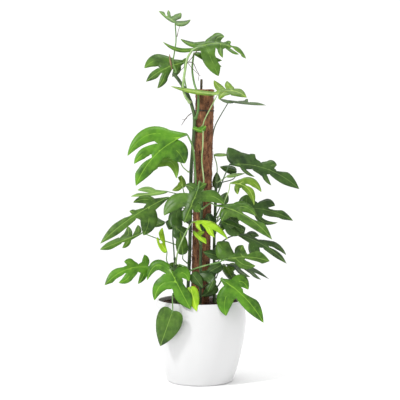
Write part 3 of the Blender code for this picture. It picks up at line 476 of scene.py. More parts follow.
# Tones of every finish from dark to light, linear; a leaf has a third one for its veins
TONES = {
    "leaf_fresh": ((0.022, 0.085, 0.003), (0.08, 0.235, 0.008), (0.25, 0.48, 0.04)),
    "leaf_mid": ((0.018, 0.055, 0.004), (0.064, 0.155, 0.011), (0.21, 0.35, 0.055)),
    # leaf_dark is partly painted shade: besides leaves of a deeper green, it is the darker copy
    # of the leaf green given to leaves that sit in shade inside, behind and on the right of the
    # plant
    "leaf_dark": ((0.01, 0.032, 0.004), (0.037, 0.092, 0.011), (0.13, 0.22, 0.045)),
    "leaf_lime": ((0.15, 0.33, 0.004), (0.32, 0.56, 0.009), (0.55, 0.78, 0.08)),
    "leaf_olive": ((0.05, 0.12, 0.006), (0.145, 0.26, 0.014), (0.36, 0.5, 0.09)),
    "leaf_pale": ((0.05, 0.14, 0.01), (0.13, 0.27, 0.022), (0.32, 0.5, 0.1)),
    "white_pot": ((0.66, 0.66, 0.662), (0.7, 0.7, 0.703)),
    "potting_soil": ((0.012, 0.006, 0.004), (0.075, 0.035, 0.022)),
    "coir_fibre": ((0.05, 0.017, 0.008), (0.36, 0.16, 0.07)),
    "fibre_strands": ((0.1, 0.04, 0.018), (0.42, 0.22, 0.11)),
    "core_wood": ((0.03, 0.028, 0.015), (0.12, 0.09, 0.045)),
    "dark_tie": ((0.012, 0.012, 0.01), (0.05, 0.045, 0.03)),
    "stem_green": ((0.018, 0.04, 0.012), (0.09, 0.16, 0.04)),
    "stalk_green": ((0.07, 0.17, 0.03), (0.2, 0.36, 0.1)),
    "stalk_pale": ((0.2, 0.34, 0.1), (0.42, 0.56, 0.25)),
    # stalk_dark is partly painted shade: the darker stalk green goes to the stalks of leaves
    # coloured leaf_dark, which sit in shade
    "stalk_dark": ((0.02, 0.055, 0.015), (0.07, 0.14, 0.04)),
    "root_brown": ((0.02, 0.013, 0.01), (0.11, 0.07, 0.05)),
    "dry_sheath": ((0.11, 0.06, 0.03), (0.36, 0.24, 0.13)),
}

# Grain of the rough finishes: how fine it is, the surface's roughness, the grain's depth
# in metres and how much it is drawn out along the piece (1 is even)
GRAINS = {
    "potting_soil": (160, 0.95, 0.002, 1),
    "coir_fibre": (130, 0.95, 0.002, 0.35),
    "fibre_strands": (60, 0.9, 0.0003, 1),
    "core_wood": (200, 0.85, 0.001, 0.1),
    "dark_tie": (300, 0.7, 0.0003, 1),
    "stem_green": (90, 0.6, 0.0006, 0.25),
    "stalk_green": (50, 0.45, 0.0003, 0.3),
    "stalk_pale": (50, 0.45, 0.0003, 0.3),
    "stalk_dark": (50, 0.5, 0.0003, 0.3),
    "root_brown": (120, 0.85, 0.0006, 0.3),
    "dry_sheath": (70, 0.85, 0.0006, 0.3),
}


def leaf_material(name, deep, plain, light):
    """Glossy leaf: mottled green with pale veins and a quilted surface between them."""
    made, tree, shader = shader_tree(name)
    place = object_place(tree)
    mottle = ramp(tree, noise_of(tree, place, 17, 3), 0.34, 0.6)
    patches = ramp(tree, noise_of(tree, place, 60, 4), 0.42, 0.68)
    colour = blended(tree, mottle, deep, plain)
    lifted = [0.5 * (a + b) for a, b in zip(plain, light)]
    colour = blended(tree, sums(tree, "MULTIPLY", patches, 0.35), colour, lifted)
    vein = attribute(tree, "vein")
    line = sums(tree, "SUBTRACT", 1.0, ramp(tree, vein, 0.3, 1.3))
    colour = blended(tree, sums(tree, "MULTIPLY", line, 0.8), colour, light)
    tree.links.new(colour, shader.inputs["Base Color"])
    shader.inputs["Roughness"].default_value = 0.38
    shader.inputs["Specular IOR Level"].default_value = 0.3
    quilt = noise_of(tree, place, 90, 3)
    ridge = ramp(tree, vein, 0.0, 6.0)
    height = sums(tree, "ADD", sums(tree, "MULTIPLY", quilt, 0.5), ridge)
    bumped(tree, shader, height, 0.0012, 0.6)
    return made


def grainy_material(name, deep, light, scale, roughness, depth, drawn_out):
    """A rough natural surface in two tones, with grain drawn out along Z."""
    made, tree, shader = shader_tree(name)
    place = stretched(tree, object_place(tree), (1, 1, drawn_out))
    tones = ramp(tree, noise_of(tree, place, scale, 5, 0.6), 0.35, 0.68)
    tree.links.new(blended(tree, tones, deep, light), shader.inputs["Base Color"])
    shader.inputs["Roughness"].default_value = roughness
    grain = noise_of(tree, place, scale * 2.5, 4, 0.65)
    bumped(tree, shader, grain, depth, 0.8)
    return made


def pot_material(name, deep, light):
    """Smooth satin white with very faint unevenness."""
    made, tree, shader = shader_tree(name)
    place = object_place(tree)
    colour = blended(tree, noise_of(tree, place, 7, 2), deep, light)
    tree.links.new(colour, shader.inputs["Base Color"])
    shader.inputs["Roughness"].default_value = 0.32
    shader.inputs["Coat Weight"].default_value = 0.25
    shader.inputs["Coat Roughness"].default_value = 0.15
    bumped(tree, shader, noise_of(tree, place, 420, 2), 0.00008, 0.3)
    return made


def build_materials(colours):
    """One material for each finish; colours holds the tones the sidebar shows."""
    made = {}
    for name, tones in TONES.items():
        chosen = [getattr(colours, tone_name(name, index)) for index in range(len(tones))]
        if name in GRAINS:
            made[name] = grainy_material(name, *chosen, *GRAINS[name])
        elif name == "white_pot":
            made[name] = pot_material(name, *chosen)
        else:
            made[name] = leaf_material(name, *chosen)
    return made


# ---------------------------------------------------------------- pot, soil and pole

def wall_profile(inset, bottom, steps):
    """Outside of the pot from rim to foot, moved in by `inset` and ending at `bottom`."""
    rim, belly, foot = POT_RIM_RADIUS, POT_BELLY_RADIUS, POT_BASE_RADIUS
    shoulder = POT_HEIGHT - POT_BELLY_HEIGHT
    points = [(rim - inset, POT_HEIGHT)]
    for step in range(1, steps):
        turn = step / (steps - 1)
        rise = shoulder * (1 - turn)
        points.append((belly - (belly - rim) * (1 - turn) ** 2 - inset, POT_BELLY_HEIGHT + rise))
    for step in range(1, 2 * steps):
        drop = step / (2 * steps - 1)
        height = POT_BELLY_HEIGHT - (POT_BELLY_HEIGHT - bottom) * drop
        share = 1 - height / POT_BELLY_HEIGHT
        points.append((belly - (belly - foot) * share ** 1.7 - inset, height))
    return points


def spun(bm, profile, steps):
    """Turns a chain of (radius, height) points, in millimetres, once round Z."""
    chain = [bm.verts.new((radius * MM, 0, height * MM)) for radius, height in profile]
    edges = [bm.edges.new(pair) for pair in zip(chain, chain[1:])]
    bmesh.ops.spin(bm, geom=[*chain, *edges], cent=(0, 0, 0), axis=(0, 0, 1),
                   angle=2 * math.pi, steps=steps, use_merge=True)
    bmesh.ops.remove_doubles(bm, verts=bm.verts, dist=1e-6)


def build_pot(surfaces):
    """Outside, rounded foot, inside and rounded lip as one chain, turned once round."""
    outer = wall_profile(0, POT_FOOT_ROUNDING, 14)
    inner = wall_profile(POT_WALL, POT_FLOOR, 10)
    foot = outer[-1][0]
    rounding = [(foot - POT_FOOT_ROUNDING * (1 - math.cos(turn)),
                 POT_FOOT_ROUNDING * (1 - math.sin(turn)))
                for turn in map(math.radians, range(15, 91, 15))]
    lip_radius = POT_WALL / 2
    middle = outer[0][0] - lip_radius
    lip = [(middle + lip_radius * math.cos(turn),
            POT_HEIGHT - lip_radius + lip_radius * math.sin(turn))
           for turn in map(math.radians, range(180, -1, -20))]
    bm = bmesh.new()
    spun(bm, [(0, POT_FLOOR), *reversed(inner[1:]), *lip, *outer[1:], *rounding, (0, 0)], 160)
    return finish_piece(bm, "pot_wall", "pot", [surfaces["white_pot"]], sharp=50)


def build_soil(surfaces, crumbs, seed):
    """A crumbly bed: an uneven mound, level at its edge, and small clods in its top."""
    chance = random.Random(seed)
    bm = bmesh.new()
    bottom = POT_FLOOR + SOIL_GAP
    inside_pot = wall_profile(POT_WALL + SOIL_GAP, bottom, 10)
    wall = [(radius, height) for radius, height in inside_pot if height < SOIL_TOP - 4]
    edge = wall[0][0]
    rings = 26
    mound = [(edge * step / rings, SOIL_TOP) for step in range(rings)]
    spun(bm, [*mound, (edge, SOIL_TOP - 2), *wall, (0, bottom)], 96)
    for vert in bm.verts:
        if vert.co.z > (SOIL_TOP - 3) * MM:
            spot = vert.co / MM
            inside = max(min((edge - spot.to_2d().length) / 8, 1), 0)
            lift = 2.5 * rough(spot, 9) + 3 * rough(spot, 26, 4)
            vert.co.z += lift * MM * inside
    for _ in range(crumbs):
        turn, reach = chance.uniform(0, 2 * math.pi), (edge - 6) * math.sqrt(chance.random())
        spot = Vector((math.cos(turn) * reach, math.sin(turn) * reach, SOIL_TOP + 0.5))
        size = chance.uniform(1.2, 4.2)
        place = Matrix.Translation(spot * MM) @ Matrix.Rotation(chance.uniform(0, 6), 4, "Z")
        clod = bmesh.ops.create_icosphere(bm, subdivisions=1, radius=size * MM, matrix=place)
        for vert in clod["verts"]:
            local = vert.co - spot * MM
            squash = 1 + 0.45 * rough(vert.co / MM, 2.2, size)
            vert.co = spot * MM + Vector((local.x, local.y, local.z * 0.7)) * squash
    return finish_piece(bm, "soil_bed", "soil", [surfaces["potting_soil"]])


# Strands are grown in small meshes and joined, which is many times faster than in one
STRANDS_AT_ONCE = 40


def strand_path(chance, low, high):
    """A short fibre lying slantwise on the pole."""
    height = chance.uniform(low, high - 3)
    turn = chance.uniform(0, 2 * math.pi)
    slope = chance.choice((-1, 1)) * chance.uniform(0.1, 1.6)
    reach = chance.uniform(10, 30)
    lift = chance.uniform(0.1, 1.8)
    path = []
    for step in range(5):
        share = step / 4 - 0.5
        here = turn + reach * share * math.cos(slope) / POLE_RADIUS
        up = min(height + reach * share * math.sin(slope), high - 0.5)
        away = POLE_RADIUS + 0.1 + lift * (0.6 + 0.5 * math.sin(5 * share + height))
        path.append(pole_axis(up) + Vector((math.cos(here), math.sin(here), 0)) * away)
    return path


def build_coir(surfaces, strands, seed):
    """The pole's matted fibre: a lumpy cylinder wrapped in loose strands."""
    chance = random.Random(seed)
    bm = bmesh.new()
    sides, rings = 72, 190
    low, high = SOIL_TOP - 12, SOIL_TOP + POLE_LENGTH
    chain = [(0, low)]
    chain += [(POLE_RADIUS - 0.8, low + (high - low) * step / rings) for step in range(rings + 1)]
    chain += [(POLE_RADIUS * 0.85, high + 0.5), (CORE_RADIUS, high), (0, high)]
    spun(bm, chain, sides)
    for vert in bm.verts:
        spot = vert.co / MM
        out = Vector((spot.x, spot.y, 0))
        if out.length > 1:
            lumps = 1.1 * rough(spot, 14) + 0.8 * rough(spot, 5, 3) + 0.7 * rough(spot, 2.6, 7)
            vert.co += out.normalized() * lumps * MM
        if spot.z > high - 1 and out.length < POLE_RADIUS - 1:
            vert.co.z += 1.5 * rough(spot, 4, 9) * MM
        vert.co.x += pole_axis(spot.z).x * MM
    for start in range(0, strands, STRANDS_AT_ONCE):
        batch = bmesh.new()
        for _ in range(start, min(start + STRANDS_AT_ONCE, strands)):
            sweep(batch, strand_path(chance, low, high), [chance.uniform(0.25, 0.5)] * 5, 3, 1)
        sheaf = bpy.data.meshes.new("strands")
        batch.to_mesh(sheaf)
        batch.free()
        bm.from_mesh(sheaf)
        bpy.data.meshes.remove(sheaf)
    return finish_piece(bm, "coir_wrap", "coir_pole",
                        [surfaces["coir_fibre"], surfaces["fibre_strands"]])


def build_core(surfaces):
    """The stub of the stick inside the pole, slightly uneven and tapered at its end."""
    bm = bmesh.new()
    pole_top = SOIL_TOP + POLE_LENGTH
    aside = Vector((CORE_OFFSET, 0, 0))
    start = pole_axis(pole_top - 20) - aside
    end = pole_axis(pole_top + CORE_PROUD) - aside
    path = [start.lerp(end, step / 12) for step in range(13)]
    radii = [CORE_RADIUS + 0.4 * rough(point, 6) for point in path]
    radii[-1] *= 0.8
    sweep(bm, path, radii, 14)
    return finish_piece(bm, "core_stub", "pole_core", [surfaces["core_wood"]], 50)


def build_tie(surfaces):
    """A dark cord wound twice round the pole, with a knot at the front."""
    bm = bmesh.new()
    middle = pole_axis(SOIL_TOP + TIE_HEIGHT)
    steps, reach, half_band = 96, POLE_RADIUS + 1.3, 1.6
    path = []
    for step in range(steps + 1):
        turn = math.radians(-100 + 720 * step / steps)
        path.append(middle + Vector((math.cos(turn) * reach, math.sin(turn) * reach,
                                     -half_band + 2 * half_band * step / steps)))
    sweep(bm, path, [TIE_CORD_RADIUS] * len(path), 6)
    knot = middle + Vector((-5, -POLE_RADIUS - 1.4, 0))
    bmesh.ops.create_icosphere(bm, subdivisions=2, radius=1.7 * MM,
                               matrix=Matrix.Translation(knot * MM))
    return finish_piece(bm, "tie_cord", "pole_tie", [surfaces["dark_tie"]])


# ---------------------------------------------------------------- stems and roots

def beside_pole(angle, stand_off, height, radius):
    """Centre of a stem that runs beside the pole."""
    turn = math.radians(angle)
    reach = POLE_RADIUS + 2.2 + radius + stand_off
    return pole_axis(height) + Vector((math.cos(turn), math.sin(turn), 0)) * reach


def stem_path(stem, steps):
    """A stem's line: up beside the pole, then through its free points, its foot buried."""
    points = [beside_pole(*place, stem.radius) for place in stem.beside]
    points += [Vector(place) for place in stem.free]
    return [points[0] - Vector((0, 0, 8)), *smooth_path(points, steps)]


def build_stem(stem, surfaces):
    """A woody green stem with a ring-shaped scar wherever a leaf has grown."""
    rough_path = stem_path(stem, 12)
    scars = [leaf.at for leaf in LEAVES if leaf.stem == stem.name]
    radii = []
    for point in rough_path:
        ring = sum(math.exp(-((point.z - scar) / 3.5) ** 2) for scar in scars)
        radii.append(stem.radius * (0.93 + 0.05 * rough(point, 18)) + 0.7 * min(ring, 1))
    bm = bmesh.new()
    sweep(bm, rough_path, radii, 16)
    return finish_piece(bm, stem.name + "_bark", stem.name,
                        [surfaces["stem_green"]])


def build_root(name, node, radius, places, surfaces):
    """A wavy thread that thins to half its radius; node is what it stands for, if any."""
    path = smooth_path([Vector(place) for place in places], 8)
    radii = [radius * (1 - 0.5 * index / (len(path) - 1)) for index in range(len(path))]
    wavy = [point + Vector((rough(point, 7), rough(point, 7, 5), rough(point, 7, 9))) * 0.8
            for point in path]
    bm = bmesh.new()
    sweep(bm, wavy, radii, 7)
    return finish_piece(bm, name, node, [surfaces["root_brown"]])


def build_sheath(surfaces):
    """Dry husks left at the growing tip: a papery sheath and a spike."""
    bm = bmesh.new()
    husk = smooth_path([Vector(p) for p in ((-98, -14, 1058), (-95, -16, 1035),
                                            (-90, -14, 1008))], 8)
    sweep(bm, husk, [0.5 + 2.6 * math.sin(math.pi * (i + 1) / 18) for i in range(len(husk))], 8)
    spike = smooth_path([Vector(p) for p in ((-66, -16, 1146), (-70, -15, 1131),
                                             (-74, -14, 1114))], 8)
    sweep(bm, spike, [0.4 + 0.9 * i / len(spike) for i in range(len(spike))], 8)
    return finish_piece(bm, "dry_husks", None, [surfaces["dry_sheath"]])


# ---------------------------------------------------------------- leaves

def curve_point(start, control, end, t):
    """A point of the curve that leaves start toward control and ends at end."""
    return start * (1 - t) ** 2 + control * (2 * t * (1 - t)) + end * t ** 2


def across(start, control, end, t):
    """Unit vector to the left of a curve's direction."""
    along = (control - start) * (1 - t) + (end - control) * t
    return Vector((-along.y, along.x)).normalized()


def free_line(start, control, end, first):
    """Points along a vein, from the share of it where its lobe comes free to its tip."""
    return [curve_point(start, control, end, first + (1 - first) * step / 12)
            for step in range(13)]


def room(point, line, half):
    """A half-width, made less where the line of a neighbouring vein is close."""
    if not line:
        return half
    nearest = half * 2 + 2 * SLOT_GAP
    for low, high in zip(line, line[1:]):
        span = high - low
        along = min(max((point - low).dot(span) / span.length_squared, 0), 1)
        nearest = min(nearest, (low + span * along - point).length)
    return min(half, max(nearest / 2 - SLOT_GAP / 2, SLOT_GAP / 2))


def eased(t):
    """Slow at both ends: 0 to 1 as t goes from 0 to 1."""
    t = min(max(t, 0), 1)
    return t * t * (3 - 2 * t)


def lobe_profile(t, peak):
    """Half-width of a lobe along its vein, as a share of its widest half-width."""
    rise = 0.6 + 0.4 * math.sin(min(t / peak, 1) * math.pi / 2)
    fall = max(t - peak, 0) / (1 - peak)
    return rise * (1 - fall ** (1.2 + 1.6 * peak)) ** 0.85


class Blade:
    """One leaf's outline in its front view, x to the right and y up, from its base."""

    def __init__(self, leaf):
        self.leaf = leaf
        self.tip = Vector(leaf.tip)
        self.base = Vector((0, 0))
        normal = Vector((-self.tip.y, self.tip.x))
        self.control = self.tip / 2 + normal * leaf.bend

    def midrib(self, u):
        """A point of the midrib, from 0 at the stalk to 1 at the tip."""
        return curve_point(self.base, self.control, self.tip, u)

    def side_normal(self, u, side):
        """Unit vector out of the midrib toward one side."""
        return across(self.base, self.control, self.tip, u) * side

    def half(self, side):
        """Cuts of the midrib, veins and slot ends on one side (+1 left, -1 right).

        Lobe k grows from between cuts k and k + 1. A vein is its start, control and end,
        its lobe, and the lines of the veins before and after it.
        """
        rows = self.leaf.left if side > 0 else self.leaf.right
        total = sum(lobe.width for lobe in rows) or 1
        share = self.leaf.share if rows else 0
        cuts = [0.0]
        for lobe in rows:
            cuts.append(round(cuts[-1] + share * lobe.width / total, 2))
        veins = []
        for lobe, low, high in zip(rows, cuts, cuts[1:]):
            root = self.midrib((low + high) / 2)
            tip = Vector((lobe.right, lobe.up))
            reach = tip - root
            bulge = Vector((-reach.y, reach.x)) * (side * lobe.bow)
            veins.append((root, root + reach * 0.45 + bulge * 2, tip, lobe))
        free = [free_line(*vein[:3], vein[3].slot) for vein in veins]
        end_lobe = [self.midrib(cuts[-1] + (1 - cuts[-1]) * step / 12) for step in range(2, 13)]
        beside = [None, *free, end_lobe]
        veins = [(*vein, beside[index], beside[index + 2]) for index, vein in enumerate(veins)]
        ends = []
        for index, cut_at in enumerate(cuts):
            near = []
            if index > 0:
                near.append(self.lobe_edge(veins[index - 1], veins[index - 1][3].slot, side, 1))
            if index < len(rows):
                slot = veins[index - 1][3].slot if index else BASE_START
                near.append(self.lobe_edge(veins[index], slot, side, -1))
            elif rows:
                near.append(self.midrib(cut_at)
                            + self.side_normal(cut_at, side) * self.leaf.width * END_START)
            ends.append(sum(near, Vector((0, 0))) / len(near) if near else Vector((0, 0)))
        return cuts, veins, ends

    def lobe_edge(self, vein, t, side, toward_tip):
        """A point on a lobe's margin; toward_tip is +1 on the side of the leaf's tip."""
        start, control, end, lobe, before, after = vein
        middle = curve_point(start, control, end, t)
        out = across(start, control, end, t) * (-side * toward_tip)
        half = lobe.width * FULLNESS / 2 * lobe_profile(t, lobe.peak)
        return middle + out * room(middle, after if toward_tip > 0 else before, half)

    def terminal_edge(self, cut_at, end, t, side, beside):
        """A point on the margin of the leaf's end lobe."""
        if cut_at == 0:
            return self.heart_edge(t, side)
        u = cut_at + (1 - cut_at) * t
        fall = max(t - END_WIDEST, 0) / (1 - END_WIDEST)
        rise = 0.9 + 0.1 * math.sin(min(t / END_WIDEST, 1) * math.pi / 2)
        half = self.leaf.width * END_FULLNESS / 2 * rise
        half = room(self.midrib(u), beside, half * (1 - fall ** 1.7))
        edge = self.midrib(u) + self.side_normal(u, side) * half
        start = self.midrib(cut_at) + self.side_normal(cut_at, side) * self.leaf.width * END_START
        return edge + (end - start) * (1 - eased(t / 0.5))

    def heart_edge(self, t, side):
        """Margin of an undivided half: a round ear at the base, then a long curve."""
        along = self.tip.normalized()
        wide = Vector((-along.y, along.x)) * (side * self.leaf.width * HEART_WIDTH)
        ear = wide - along * self.leaf.width ** 2 * EAR_GROWTH
        flank = wide + self.tip * HEART_FLANK
        return (ear * 3 * t * (1 - t) ** 2 + flank * 3 * t ** 2 * (1 - t) + self.tip * t ** 3)

    def placed(self, flat, sink=0.0):
        """The front-view point in space, in millimetres, with lean, fold and ripple."""
        leaf = self.leaf
        length = self.tip.length
        offset = abs(self.tip.x * flat.y - self.tip.y * flat.x) / length
        depth = leaf.lean[0] * flat.x + leaf.lean[1] * flat.y
        depth += leaf.fold * offset + leaf.curl * flat.length ** 2 / length
        spot = Vector((flat.x, flat.y, 10 * leaf.base[2]))
        depth += sink + RIPPLE_DEPTH * rough(spot, RIPPLE_SIZE) * min(offset / 12, 1)
        bx, by, bz = leaf.base
        return Vector((bx + flat.x, by + depth, bz + flat.y))


# Rows of points: along the end lobe, along the other lobes, and from the midrib to where
# the lobes part; a lobe's foot is eased into that web over the last share
TERMINAL_STEPS = (0.0, 0.06, 0.14, 0.22, 0.3, 0.38, 0.46, 0.54, 0.62, 0.7, 0.78, 0.86, 0.93,
                  0.97, 1.0)
FINGER_STEPS = (0.06, 0.12, 0.2, 0.28, 0.36, 0.44, 0.52, 0.6, 0.68, 0.76, 0.84, 0.9, 0.95, 0.98,
                1.0)
WEB_STEPS = (0.35, 0.7, 1.0)
WEB_FADE = 0.3


def stations(*sides):
    """Places along the midrib where either half of the blade needs a point."""
    places = set()
    for cuts, veins, _ in sides:
        for low, high in zip(cuts, cuts[1:]):
            places.update(round(low + (high - low) * step / 4, 3) for step in range(4))
        places.update(cuts)
        places.update(round(cuts[-1] + (1 - cuts[-1]) * step, 3) for step in TERMINAL_STEPS)
    ordered = sorted(places)
    kept = [ordered[0]]
    fixed = {cut for cuts, _, _ in sides for cut in cuts} | {1.0}
    for place in ordered[1:]:
        if place - kept[-1] > 0.012:
            kept.append(place)
        elif place in fixed:
            if kept[-1] in fixed:
                kept.append(place)
            else:
                kept[-1] = place
    return kept


def half_blade(bm, blade, side, outline, ribs, places, flats):
    """Grows one half of a blade out of the midrib's vertices."""
    cuts, veins, ends = outline
    targets, spans = [], [[] for _ in veins]
    for index, u in enumerate(places):
        held = [k for k in range(len(veins)) if cuts[k] <= u <= cuts[k + 1]]
        for k in held:
            spans[k].append(index)
        if held:
            share = (u - cuts[held[0]]) / (cuts[held[0] + 1] - cuts[held[0]])
            targets.append(ends[held[0]].lerp(ends[held[0] + 1], share))
        elif u == 0:
            targets.append(blade.side_normal(0, side) * blade.leaf.stalk / 2)
        else:
            step = (u - cuts[-1]) / (1 - cuts[-1])
            last = free_line(*veins[-1][:3], veins[-1][3].slot) if veins else None
            targets.append(blade.terminal_edge(cuts[-1], ends[-1], step, side, last))
    starts = [blade.midrib(u) for u in places]
    starts[0] = blade.side_normal(0, side) * blade.leaf.stalk / 2
    row = ribs
    for step in WEB_STEPS:
        flat_row = [start.lerp(target, step) for start, target in zip(starts, targets)]
        row = grow(bm, row, [blade.placed(flat, WEB_DIP * step ** 2) for flat in flat_row])
        flats.update(zip(row, flat_row))
    webs = row
    for index, (vein, span) in enumerate(zip(veins, spans)):
        lobe = vein[3]
        row = [webs[i] for i in span]
        shares = [(places[i] - cuts[index]) / (cuts[index + 1] - cuts[index]) for i in span]
        slots = (veins[index - 1][3].slot if index else BASE_START, lobe.slot)
        shifts = [ends[index + more] - blade.lobe_edge(vein, slots[more], side, 2 * more - 1)
                  for more in (0, 1)]
        for step in FINGER_STEPS:
            edges = [blade.lobe_edge(vein, slots[more] + (1 - slots[more]) * step, side,
                                     2 * more - 1) + shifts[more] * (1 - eased(step / WEB_FADE))
                     for more in (0, 1)]
            flat_row = [edges[0].lerp(edges[1], share) for share in shares]
            cup = WEB_DIP * (1 - step) + 0.1 * lobe.width * lobe_profile(step, lobe.peak)
            sinks = [WEB_DIP * (1 - eased(step * 2))
                     + cup * (2 * share - 1) ** 2 * eased(step * 3) for share in shares]
            row = grow(bm, row, [blade.placed(flat, sink)
                                 for flat, sink in zip(flat_row, sinks)])
            flats.update(zip(row, flat_row))


PALE_STALKS = {"leaf_lime_centre", "leaf_curly", "leaf_crown_right", "leaf_pole_top",
               "leaf_right_olive", "leaf_right_pale", "leaf_light_left", "leaf_rim_left"}


def stalk_finish(leaf):
    # Stalks of leaf_dark leaves get stalk_dark, a darker copy of the stalk green that is partly
    # painted shade
    if leaf.colour == "leaf_dark":
        return "stalk_dark"
    return "stalk_pale" if leaf.name in PALE_STALKS else "stalk_green"


def vein_distances(blade, outlines, flats):
    """How far each front-view point is from the nearest main vein, in millimetres."""
    lines = [[blade.midrib(step / 24) for step in range(25)]]
    for _, veins, _ in outlines.values():
        for start, control, end, *_ in veins:
            lines.append([curve_point(start, control, end, step / 16) for step in range(17)])
    points = np.array(flats)[:, None, :]
    low = np.array([point for line in lines for point in line[:-1]])[None]
    span = np.array([point for line in lines for point in line[1:]])[None] - low
    along = ((points - low) * span).sum(2) / (span ** 2).sum(2)
    nearest = low + span * along.clip(0, 1)[:, :, None]
    return np.sqrt(((points - nearest) ** 2).sum(2)).min(1)


def stalk_foot(paths, stem_name, height, toward):
    """Where a stalk leaves its stem: in its bark, then a little way straight out."""
    path, radius = paths[stem_name]
    for start, end in zip(path[1:], path[2:]):
        if (start.z - height) * (end.z - height) <= 0 and start.z != end.z:
            centre = start.lerp(end, (height - start.z) / (end.z - start.z))
            along = (end - start).normalized()
            break
    else:
        centre = min(path[1:], key=lambda point: abs(point.z - height))
        along = (path[-1] - path[-2]).normalized()
    out = toward - centre
    out = (out - along * out.dot(along)).normalized()
    return centre + out * radius * 0.6, centre + out * (radius + STALK_REACH)


def stalk_tube(leaf, blade, paths):
    """Path and radii of a stalk, from inside the blade's foot down to its stem's bark."""
    start = blade.placed(Vector((0, 0)))
    via = [Vector(place) for place in leaf.via]
    foot, clear = stalk_foot(paths, leaf.stem, leaf.at, via[0])
    path = [*smooth_path([start, *reversed(via), clear], 8), foot]
    thick = leaf.stalk / 2
    radii = [thick * (0.78 + 0.22 * index / len(path)) for index in range(len(path))]
    radii[-1] = radii[-2] = thick * STALK_FLARE
    path.insert(0, blade.placed(blade.midrib(0.1)) + Vector((0, 0.8, 0)))
    radii.insert(0, thick * 0.35)
    return path, radii


def thicken(bm, depth, sheet):
    """Backs a sheet with a copy of itself and closes the rim between the two."""
    bm.normal_update()
    rim = [edge for edge in bm.edges if edge.is_boundary]
    front = bm.faces[:]
    made = bmesh.ops.duplicate(bm, geom=front)
    twins = {vert: made["vert_map"][vert] for face in front for vert in face.verts}
    for vert, twin in twins.items():
        twin.co = vert.co - vert.normal * depth
    backs = [item for item in made["geom"] if isinstance(item, bmesh.types.BMFace)]
    bmesh.ops.reverse_faces(bm, faces=backs)
    for edge in rim:
        loop = edge.link_loops[0]
        after = loop.link_loop_next
        side = bm.faces.new((after.vert, loop.vert, twins[loop.vert], twins[after.vert]))
        for corner, source in zip(side.loops, (after, loop, loop, after)):
            corner[sheet].uv = source[sheet].uv


def build_leaf(leaf, paths, thickness, surfaces):
    """A veined blade, `thickness` metres thick, with its round stalk."""
    blade = Blade(leaf)
    bm = bmesh.new()
    layer = bm.verts.layers.float.new("vein")
    sheet = bm.loops.layers.uv.new("UVMap")
    outlines = {side: blade.half(side) for side in (1, -1)}
    places = stations(*outlines.values())
    half_stalk = blade.side_normal(0, 1) * leaf.stalk / 2
    flats = {}
    left = bm.verts.new(blade.placed(half_stalk) * MM)
    right = bm.verts.new(blade.placed(-half_stalk) * MM)
    ribs = [bm.verts.new(blade.placed(blade.midrib(u)) * MM) for u in places[1:]]
    flats.update(zip([left, right, *ribs],
                     [half_stalk, -half_stalk, *[blade.midrib(u) for u in places[1:]]]))
    for low, high in zip([left, *ribs], ribs):
        bm.edges.new((low, high))
    bm.edges.new((right, ribs[0]))
    bm.faces.new((left, right, ribs[0]))
    for side, first in ((1, left), (-1, right)):
        half_blade(bm, blade, side, outlines[side], [first, *ribs], places, flats)
    for vert, distance in zip(flats, vein_distances(blade, outlines, list(flats.values()))):
        vert[layer] = distance
    for face in bm.faces:
        for loop in face.loops:
            loop[sheet].uv = flats[loop.vert] / 100
    bmesh.ops.remove_doubles(bm, verts=bm.verts, dist=2e-5)
    bmesh.ops.recalc_face_normals(bm, faces=bm.faces)
    thicken(bm, thickness, sheet)
    sweep(bm, *stalk_tube(leaf, blade, paths), 10, 1)
    return finish_piece(bm, leaf.name.replace("leaf_", "blade_"), leaf.name,
                        [surfaces[leaf.colour], surfaces[stalk_finish(leaf)]])


# ---------------------------------------------------------------- light, floor and camera

def area_light(name, spot, aim, size, energy):
    """A round lamp at `spot`, in metres, turned toward `aim`."""
    data = bpy.data.lights.new(name, "AREA")
    data.shape = "DISK"
    data.size = size
    data.energy = energy
    item = bpy.data.objects.new(name, data)
    item.location = spot
    item.rotation_euler = (Vector(aim) - Vector(spot)).to_track_quat("-Z", "Y").to_euler()
    bpy.context.scene.collection.objects.link(item)
    return item


# The sweep in metres: half its width, its front edge, where it starts to rise, the radius
# of the bend and the top of its wall
SWEEP_SIDE = 9
SWEEP_FRONT = -6
SWEEP_BACK = 3.0
SWEEP_BEND = 1.2
SWEEP_TOP = 6

# Lamps: name, place, what they point at, size in metres and power in watts
LAMPS = (
    ("key", (-1.9, -1.6, 2.6), (0, 0, 0.55), 0.6, 62),
    ("top", (0.2, 0.2, 3.2), (0, 0, 0.6), 1.2, 22),
    ("fill", (2.6, -2.4, 1.4), (0, 0, 0.6), 2.0, 4),
)


def build_backdrop():
    """A white floor that bends up into a wall behind the plant."""
    profile = [(SWEEP_FRONT, 0), (SWEEP_BACK, 0)]
    for turn in (math.radians(90 * step / 8) for step in range(1, 9)):
        profile.append((SWEEP_BACK + SWEEP_BEND * math.sin(turn),
                        SWEEP_BEND * (1 - math.cos(turn))))
    profile.append((SWEEP_BACK + SWEEP_BEND, SWEEP_TOP))
    bm = bmesh.new()
    chain = [bm.verts.new((-SWEEP_SIDE, depth, height)) for depth, height in profile]
    edges = [bm.edges.new(pair) for pair in zip(chain, chain[1:])]
    made = bmesh.ops.extrude_edge_only(bm, edges=edges)["geom"]
    bmesh.ops.translate(bm, vec=(2 * SWEEP_SIDE, 0, 0),
                        verts=[item for item in made if isinstance(item, bmesh.types.BMVert)])
    bmesh.ops.recalc_face_normals(bm, faces=bm.faces)
    mesh = bpy.data.meshes.new("studio_sweep")
    bm.to_mesh(mesh)
    bm.free()
    mesh.shade_smooth()
    backdrop = bpy.data.objects.new("studio_sweep", mesh)
    bpy.context.scene.collection.objects.link(backdrop)
    paper, _, shader = shader_tree("studio_white")
    shader.inputs["Base Color"].default_value = (0.97, 0.97, 0.97, 1)
    shader.inputs["Roughness"].default_value = 0.9
    shader.inputs["Specular IOR Level"].default_value = 0.1
    mesh.materials.append(paper)


